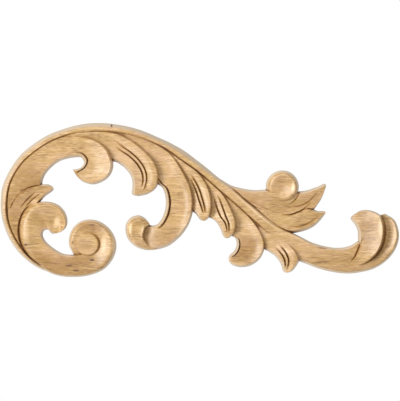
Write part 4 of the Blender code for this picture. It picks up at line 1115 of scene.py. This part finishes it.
class APPLIQUE_OT_stage(bpy.types.Operator):
    """Set up the floor, the lights, the surroundings and the camera."""

    bl_idname = "applique.stage"
    bl_label = "Set up the stage"

    def execute(self, context):
        """Build the stage."""
        settings = context.scene.applique_stage
        stage_floor()
        stage_world(context.scene, settings.ambient)
        soft_light("main_light", (-1.4, -1.5, 0.3), 0.7, settings.key_power)
        soft_light("top_light", (0.1, -1.1, 1.5), 0.8, settings.top_power)
        stage_camera(context.scene, settings.lens)
        context.scene.view_settings.view_transform = "Standard"
        return {"FINISHED"}


def node(tree, kind, inputs=(), **settings):
    """A node with its settings; inputs are pairs of a socket and a value or another node's output."""
    made = tree.nodes.new(kind)
    for name, value in settings.items():
        setattr(made, name, value)
    for socket, value in inputs:
        if isinstance(value, bpy.types.NodeSocket):
            tree.links.new(value, made.inputs[socket])
        else:
            made.inputs[socket].default_value = value
    return made


def calculated(tree, operation, first, second=0.0):
    """A sum of two numbers or outputs."""
    return node(tree, "ShaderNodeMath", ((0, first), (1, second)), operation=operation).outputs[0]


def scaled_noise(tree, vector, scale, detail):
    """Noise on a vector stretched by its own scale along each axis."""
    mapping = node(tree, "ShaderNodeMapping", (("Vector", vector), ("Scale", scale)))
    texture = node(tree, "ShaderNodeTexNoise", (
        ("Vector", mapping.outputs[0]), ("Scale", 1.0), ("Detail", detail)))
    return texture.outputs["Fac"]


def ranged(tree, value, low, high):
    """A value spread from 0 at its low end to 1 at its high end, smoothly."""
    return node(tree, "ShaderNodeMapRange", (("Value", value), ("From Min", low), ("From Max", high)),
                interpolation_type="SMOOTHSTEP").outputs[0]


def mixed(tree, share, first, second, blend="MIX"):
    """Two colours mixed."""
    mix = node(tree, "ShaderNodeMix", data_type="RGBA", blend_type=blend, clamp_factor=True)
    for socket, value in ((0, share), (6, first), (7, second)):
        if isinstance(value, bpy.types.NodeSocket):
            tree.links.new(value, mix.inputs[socket])
        else:
            mix.inputs[socket].default_value = value
    return mix.outputs[2]


def new_group(name, inputs, outputs):
    """An empty node group with its sockets: its tree, its entry and its exit."""
    group = bpy.data.node_groups.new(name, "ShaderNodeTree")
    for socket, kind in inputs:
        group.interface.new_socket(socket, in_out="INPUT", socket_type=kind)
    for socket, kind in outputs:
        group.interface.new_socket(socket, in_out="OUTPUT", socket_type=kind)
    return group, group.nodes.new("NodeGroupInput"), group.nodes.new("NodeGroupOutput")


def figure_group():
    """Beech figure: fine lines and flecks along the length, over broad warmer and golden patches."""
    group, entry, leave = new_group(
        "beech_figure",
        [("Vector", "NodeSocketVector")]
        + [(name, "NodeSocketColor") for name in ("Light", "Dark", "Warm", "Gold")],
        [("Color", "NodeSocketColor"), ("Tone", "NodeSocketFloat")],
    )
    vector = entry.outputs["Vector"]
    wander = scaled_noise(group, vector, (20.0, 30.0, 24.0), 2.0)
    shift = node(group, "ShaderNodeCombineXYZ", (
        ("Z", calculated(group, "MULTIPLY", calculated(group, "SUBTRACT", wander, 0.5), 0.007)),))
    moved = node(group, "ShaderNodeVectorMath", ((0, vector), (1, shift.outputs[0])),
                 operation="ADD").outputs[0]
    fine = ranged(group, scaled_noise(group, moved, (260.0, 400.0, 1800.0), 2.0), 0.33, 0.67)
    lines = ranged(group, scaled_noise(group, moved, (70.0, 160.0, 1000.0), 2.0), 0.30, 0.70)
    warm = ranged(group, scaled_noise(group, moved, (40.0, 60.0, 110.0), 2.0), 0.42, 0.62)
    gold = ranged(group, scaled_noise(group, moved, (90.0, 120.0, 330.0), 2.0), 0.42, 0.64)
    flecks = ranged(group, scaled_noise(group, moved, (240.0, 400.0, 1300.0), 1.0), 0.60, 0.74)
    tone = calculated(group, "ADD", calculated(group, "MULTIPLY", fine, 0.66),
                      calculated(group, "MULTIPLY", lines, 0.34))
    wood = mixed(group, tone, entry.outputs["Dark"], entry.outputs["Light"])
    wood = mixed(group, calculated(group, "MULTIPLY", warm, 0.42), wood, entry.outputs["Warm"])
    wood = mixed(group, calculated(group, "MULTIPLY", gold, 0.55), wood, entry.outputs["Gold"])
    wood = mixed(group, calculated(group, "MULTIPLY", flecks, 0.24), wood, entry.outputs["Dark"])
    group.links.new(wood, leave.inputs["Color"])
    group.links.new(calculated(group, "SUBTRACT", tone, flecks), leave.inputs["Tone"])
    return group


def spots_group(name, spots, core):
    """A mask of oval spots along the grain.

    A row of its table is x, y, half length, half width, fall in degrees, and strength.
    """
    group, entry, leave = new_group(name, [("Vector", "NodeSocketVector")], [("Mask", "NodeSocketFloat")])
    total = 0.0
    unit = LENGTH / SHEET_SPAN
    for x, y, half_length, half_width, fall, strength in spots:
        left, _, up = place(x, y, 0.0)
        mapping = node(group, "ShaderNodeMapping", (
            ("Vector", entry.outputs["Vector"]), ("Location", (left, 0.0, up)),
            ("Rotation", (0.0, math.radians(fall), 0.0)),
            ("Scale", (half_length * unit, 1.0, half_width * unit))), vector_type="TEXTURE")
        away = node(group, "ShaderNodeVectorMath", ((0, mapping.outputs[0]),),
                    operation="LENGTH").outputs["Value"]
        spot = calculated(group, "MULTIPLY", ranged(group, away, 1.0, core), strength)
        total = calculated(group, "MAXIMUM", spot, total)
    group.links.new(total, leave.inputs["Mask"])
    return group


# Where the wood is a darker gold, partly painted shade that darkens parts the lights leave too bright, as on
# the terminal scroll
GOLDEN_AND_SHADE_SPOTS = (
    (66.0, 265.0, 60.0, 19.0, -4.0, 1.0),
    (46.0, 262.0, 30.0, 12.0, 20.0, 1.0),
    (24.0, 196.0, 14.0, 20.0, 0.0, 0.5),
    (281.0, 184.0, 11.0, 11.0, 0.0, 0.5),
    (90.0, 226.0, 22.0, 9.0, 0.0, 1.0),
    (84.0, 246.0, 13.0, 9.0, 0.0, 0.4),
    (15.0, 208.0, 16.0, 34.0, 0.0, 0.5),
    (40.0, 216.0, 20.0, 16.0, 0.0, 0.35),
    (246.0, 252.0, 24.0, 22.0, 0.0, 0.95),
    (166.0, 238.0, 36.0, 16.0, 0.0, 0.75),
    (30.0, 176.0, 26.0, 22.0, 0.0, 0.6),
    (136.0, 178.0, 9.0, 22.0, 0.0, 0.6),
    (262.0, 205.0, 40.0, 13.0, 8.0, 0.5),
    (308.0, 201.0, 22.0, 11.0, -20.0, 0.7),
    (306.0, 222.0, 26.0, 9.0, -20.0, 0.6),
    (330.0, 262.0, 60.0, 15.0, 5.0, 0.45),
    (384.0, 246.0, 16.0, 34.0, 25.0, 0.5),
    (367.0, 232.0, 17.0, 32.0, 0.0, 0.9),
    (188.0, 200.0, 14.0, 30.0, 0.0, 0.35),
)

# Where the wood is paler, and mostly painted highlights on crests and slopes that face the light
PALE_AND_HIGHLIGHT_SPOTS = (
    (256.0, 210.5, 42.0, 4.2, 40.5, 0.60),
    (380.0, 229.0, 3.0, 13.0, 0.0, 0.45),
    (394.0, 236.0, 3.0, 16.0, 8.0, 0.40),
    (35.0, 202.4, 6.0, 4.0, 0.0, 0.50),
    (103.8, 244.0, 4.4, 12.0, 0.0, 0.6),
    (57.0, 221.5, 4.0, 8.0, 10.0, 0.45),
    (293.4, 188.0, 3.2, 8.0, 0.0, 1.0),
    (281.5, 194.0, 3.0, 2.6, 0.0, 0.5),
    (113.8, 246.0, 2.6, 13.0, 0.0, 0.5),
    (272.5, 183.0, 2.6, 4.0, 20.0, 0.35),
    (130.5, 229.0, 3.0, 8.0, 0.0, 0.60),
    (143.0, 231.0, 2.4, 9.0, 0.0, 0.5),
    (27.0, 232.0, 4.0, 15.0, 0.0, 0.30),
    (296.0, 236.5, 14.0, 4.0, 25.0, 0.30),
)

# Small dark flecks and cracks in the wood
DARK_MARKS = (
    (92.0, 260.0, 3.4, 1.5, 0.0, 1.0),
    (69.0, 265.7, 5.0, 1.3, -2.0, 0.9),
    (76.0, 270.6, 4.2, 1.2, 2.0, 0.9),
    (92.0, 225.0, 4.4, 1.4, 0.0, 0.6),
    (72.6, 242.5, 1.4, 2.2, 0.0, 0.6),
    (86.0, 241.6, 8.0, 0.9, 0.0, 0.4),
    (26.0, 244.6, 2.4, 1.7, 0.0, 0.9),
    (33.0, 244.1, 8.6, 0.8, -4.0, 0.6),
    (111.5, 125.7, 1.2, 2.0, 0.0, 0.9),
    (303.0, 225.0, 4.6, 1.0, 4.0, 0.6),
    (322.0, 248.0, 6.6, 1.0, 8.0, 0.5),
    (322.5, 261.8, 11.5, 0.9, -4.0, 0.55),
    (176.0, 229.0, 8.0, 0.8, 0.0, 0.35),
    (50.0, 263.0, 13.0, 0.8, 4.0, 0.3),
)


def beech_material(finish):
    """Beech with fine grain along the length, with a painted pale sheen on its steep sides, painted shade in
    its grooves and at the foot of its steps, and painted highlights.
    """
    material = bpy.data.materials.new("beech")
    material.use_nodes = True
    tree = material.node_tree
    shader = tree.nodes["Principled BSDF"]
    coords = node(tree, "ShaderNodeTexCoord").outputs["Object"]
    figure = node(tree, "ShaderNodeGroup", node_tree=figure_group())
    tree.links.new(coords, figure.inputs["Vector"])
    for name in ("Light", "Dark", "Warm", "Gold"):
        figure.inputs[name].default_value = getattr(finish, name.lower() + "_wood")
    facing = node(tree, "ShaderNodeSeparateXYZ", (
        ("Vector", node(tree, "ShaderNodeNewGeometry").outputs["Normal"]),)).outputs["Y"]
    front = ranged(tree, facing, 0.3, -0.3)
    masks = {}
    for name, spots, core in (("beech_gold_and_shade", GOLDEN_AND_SHADE_SPOTS, 0.2), ("beech_pale_and_highlight", PALE_AND_HIGHLIGHT_SPOTS, 0.2),
                              ("beech_marks", DARK_MARKS, 0.5)):
        spot = node(tree, "ShaderNodeGroup", node_tree=spots_group(name, spots, core))
        tree.links.new(coords, spot.inputs["Vector"])
        masks[name] = calculated(tree, "MULTIPLY", spot.outputs["Mask"], front)
    groove = ranged(tree, node(tree, "ShaderNodeAttribute", attribute_name="groove").outputs["Fac"],
                    *GROOVE_SHADE_RANGE)
    foot = ranged(tree, node(tree, "ShaderNodeAttribute", attribute_name="foot").outputs["Fac"],
                  *FOOT_SHADE_RANGE)
    # Painted sheen: steep sides near the outline turned paler and greyer
    steep = ranged(tree, calculated(tree, "ABSOLUTE", facing), 0.66, 0.36)
    border = node(tree, "ShaderNodeAttribute", attribute_name="border").outputs["Fac"]
    side = calculated(tree, "MULTIPLY", steep, border)
    # The gold spots: a darker gold of the wood, partly painted shade
    colour = mixed(tree, masks["beech_gold_and_shade"], figure.outputs["Color"], finish.shade_wood, "MULTIPLY")
    # The pale spots: a little pale wood, mostly painted highlights
    colour = mixed(tree, masks["beech_pale_and_highlight"], colour, finish.pale_and_highlight_wood)
    colour = mixed(tree, calculated(tree, "MULTIPLY", side, 0.8), colour, finish.painted_sheen_wood)
    colour = mixed(tree, masks["beech_marks"], colour, finish.mark_wood)
    # Painted shade at the foot of steps and in the bottom of grooves
    colour = mixed(tree, calculated(tree, "MULTIPLY", foot, 0.7), colour, finish.painted_shade_wood)
    colour = mixed(tree, calculated(tree, "MULTIPLY", groove, 0.88), colour, finish.painted_shade_wood)
    tree.links.new(colour, shader.inputs["Base Color"])
    rough = node(tree, "ShaderNodeMapRange", (
        ("Value", calculated(tree, "MAXIMUM", groove, foot)),
        ("To Min", finish.roughness), ("To Max", 0.75)))
    tree.links.new(rough.outputs[0], shader.inputs["Roughness"])
    shader.inputs["Specular IOR Level"].default_value = finish.gloss
    bump = node(tree, "ShaderNodeBump", (
        ("Strength", 0.2), ("Distance", 0.0003), ("Height", figure.outputs["Tone"])))
    tree.links.new(bump.outputs["Normal"], shader.inputs["Normal"])
    return material


def stage_floor():
    """A pale floor below the picture."""
    bpy.ops.mesh.primitive_circle_add(vertices=96, radius=0.8, fill_type="NGON", location=(0.0, 0.0, -0.17))
    floor = bpy.context.object
    floor.name = "pale_floor"
    material = bpy.data.materials.new("pale_floor")
    material.use_nodes = True
    shader = material.node_tree.nodes["Principled BSDF"]
    shader.inputs["Base Color"].default_value = (0.86, 0.86, 0.85, 1.0)
    shader.inputs["Roughness"].default_value = 0.7
    floor.data.materials.append(material)


def stage_world(scene, ambient):
    """White surroundings, which light the wood less than they show."""
    world = bpy.data.worlds.new("white_studio")
    scene.world = world
    world.use_nodes = True
    tree = world.node_tree
    background = tree.nodes["Background"]
    background.inputs["Color"].default_value = (1.0, 1.0, 1.0, 1.0)
    path = node(tree, "ShaderNodeLightPath")
    lit = node(tree, "ShaderNodeMapRange", (
        ("Value", path.outputs["Is Glossy Ray"]), ("To Min", ambient), ("To Max", 0.35)))
    seen = node(tree, "ShaderNodeMapRange", (
        ("Value", path.outputs["Is Camera Ray"]), ("To Min", lit.outputs[0]), ("To Max", 1.0)))
    tree.links.new(seen.outputs[0], background.inputs["Strength"])


def soft_light(name, location, size, power):
    """A square soft light that faces the carving."""
    bpy.ops.object.light_add(type="AREA", location=location)
    light = bpy.context.object
    light.name = name
    light.data.shape = "SQUARE"
    light.data.size = size
    light.data.energy = power
    x, y, z = location
    light.rotation_euler = (math.atan2(math.hypot(x, y), z), 0.0, math.atan2(-x, y) + math.pi)


def stage_camera(scene, lens):
    """A long lens straight in front of the carving."""
    data = bpy.data.cameras.new("front_camera")
    camera = bpy.data.objects.new("front_camera", data)
    scene.collection.objects.link(camera)
    data.lens = lens
    data.sensor_width = 36.0
    data.sensor_fit = "AUTO"
    unit = LENGTH / SHEET_SPAN
    distance = lens / 36.0 * 401 * unit
    camera.location = (0.0, -distance - DEPTH / 2, (SHEET_MIDDLE[1] - 200.5) * unit)
    camera.rotation_euler = (math.pi / 2, 0.0, 0.0)
    data.clip_end = 20.0
    scene.camera = camera


class APPLIQUE_PT_panel(bpy.types.Panel):
    """The applique's sizes, colours and steps."""

    bl_idname = "APPLIQUE_PT_panel"
    bl_label = "Acanthus applique"
    bl_space_type = "VIEW_3D"
    bl_region_type = "UI"
    bl_category = "Applique"

    def draw(self, context):
        """List the settings and the operators."""
        scene = context.scene
        for group in (scene.applique_sizes, scene.applique_finish, scene.applique_stage):
            box = self.layout.box()
            for name in group.__annotations__:
                box.prop(group, name)
        for operator in (APPLIQUE_OT_carve, APPLIQUE_OT_finish, APPLIQUE_OT_stage):
            self.layout.operator(operator.bl_idname)


CLASSES = (
    AppliqueSizes,
    AppliqueFinish,
    AppliqueStage,
    APPLIQUE_OT_carve,
    APPLIQUE_OT_finish,
    APPLIQUE_OT_stage,
    APPLIQUE_PT_panel,
)


def register():
    """Register the classes and the settings."""
    for item in CLASSES:
        bpy.utils.register_class(item)
    bpy.types.Scene.applique_sizes = bpy.props.PointerProperty(type=AppliqueSizes)
    bpy.types.Scene.applique_finish = bpy.props.PointerProperty(type=AppliqueFinish)
    bpy.types.Scene.applique_stage = bpy.props.PointerProperty(type=AppliqueStage)


def unregister():
    """Remove the settings and the classes."""
    del bpy.types.Scene.applique_stage
    del bpy.types.Scene.applique_finish
    del bpy.types.Scene.applique_sizes
    for item in reversed(CLASSES):
        bpy.utils.unregister_class(item)


def main():
    """Run every step."""
    register()
    bpy.ops.object.select_all(action="DESELECT")
    bpy.ops.applique.carve()
    bpy.ops.applique.finish()
    bpy.ops.applique.stage()


if __name__ == "__main__":
    main()
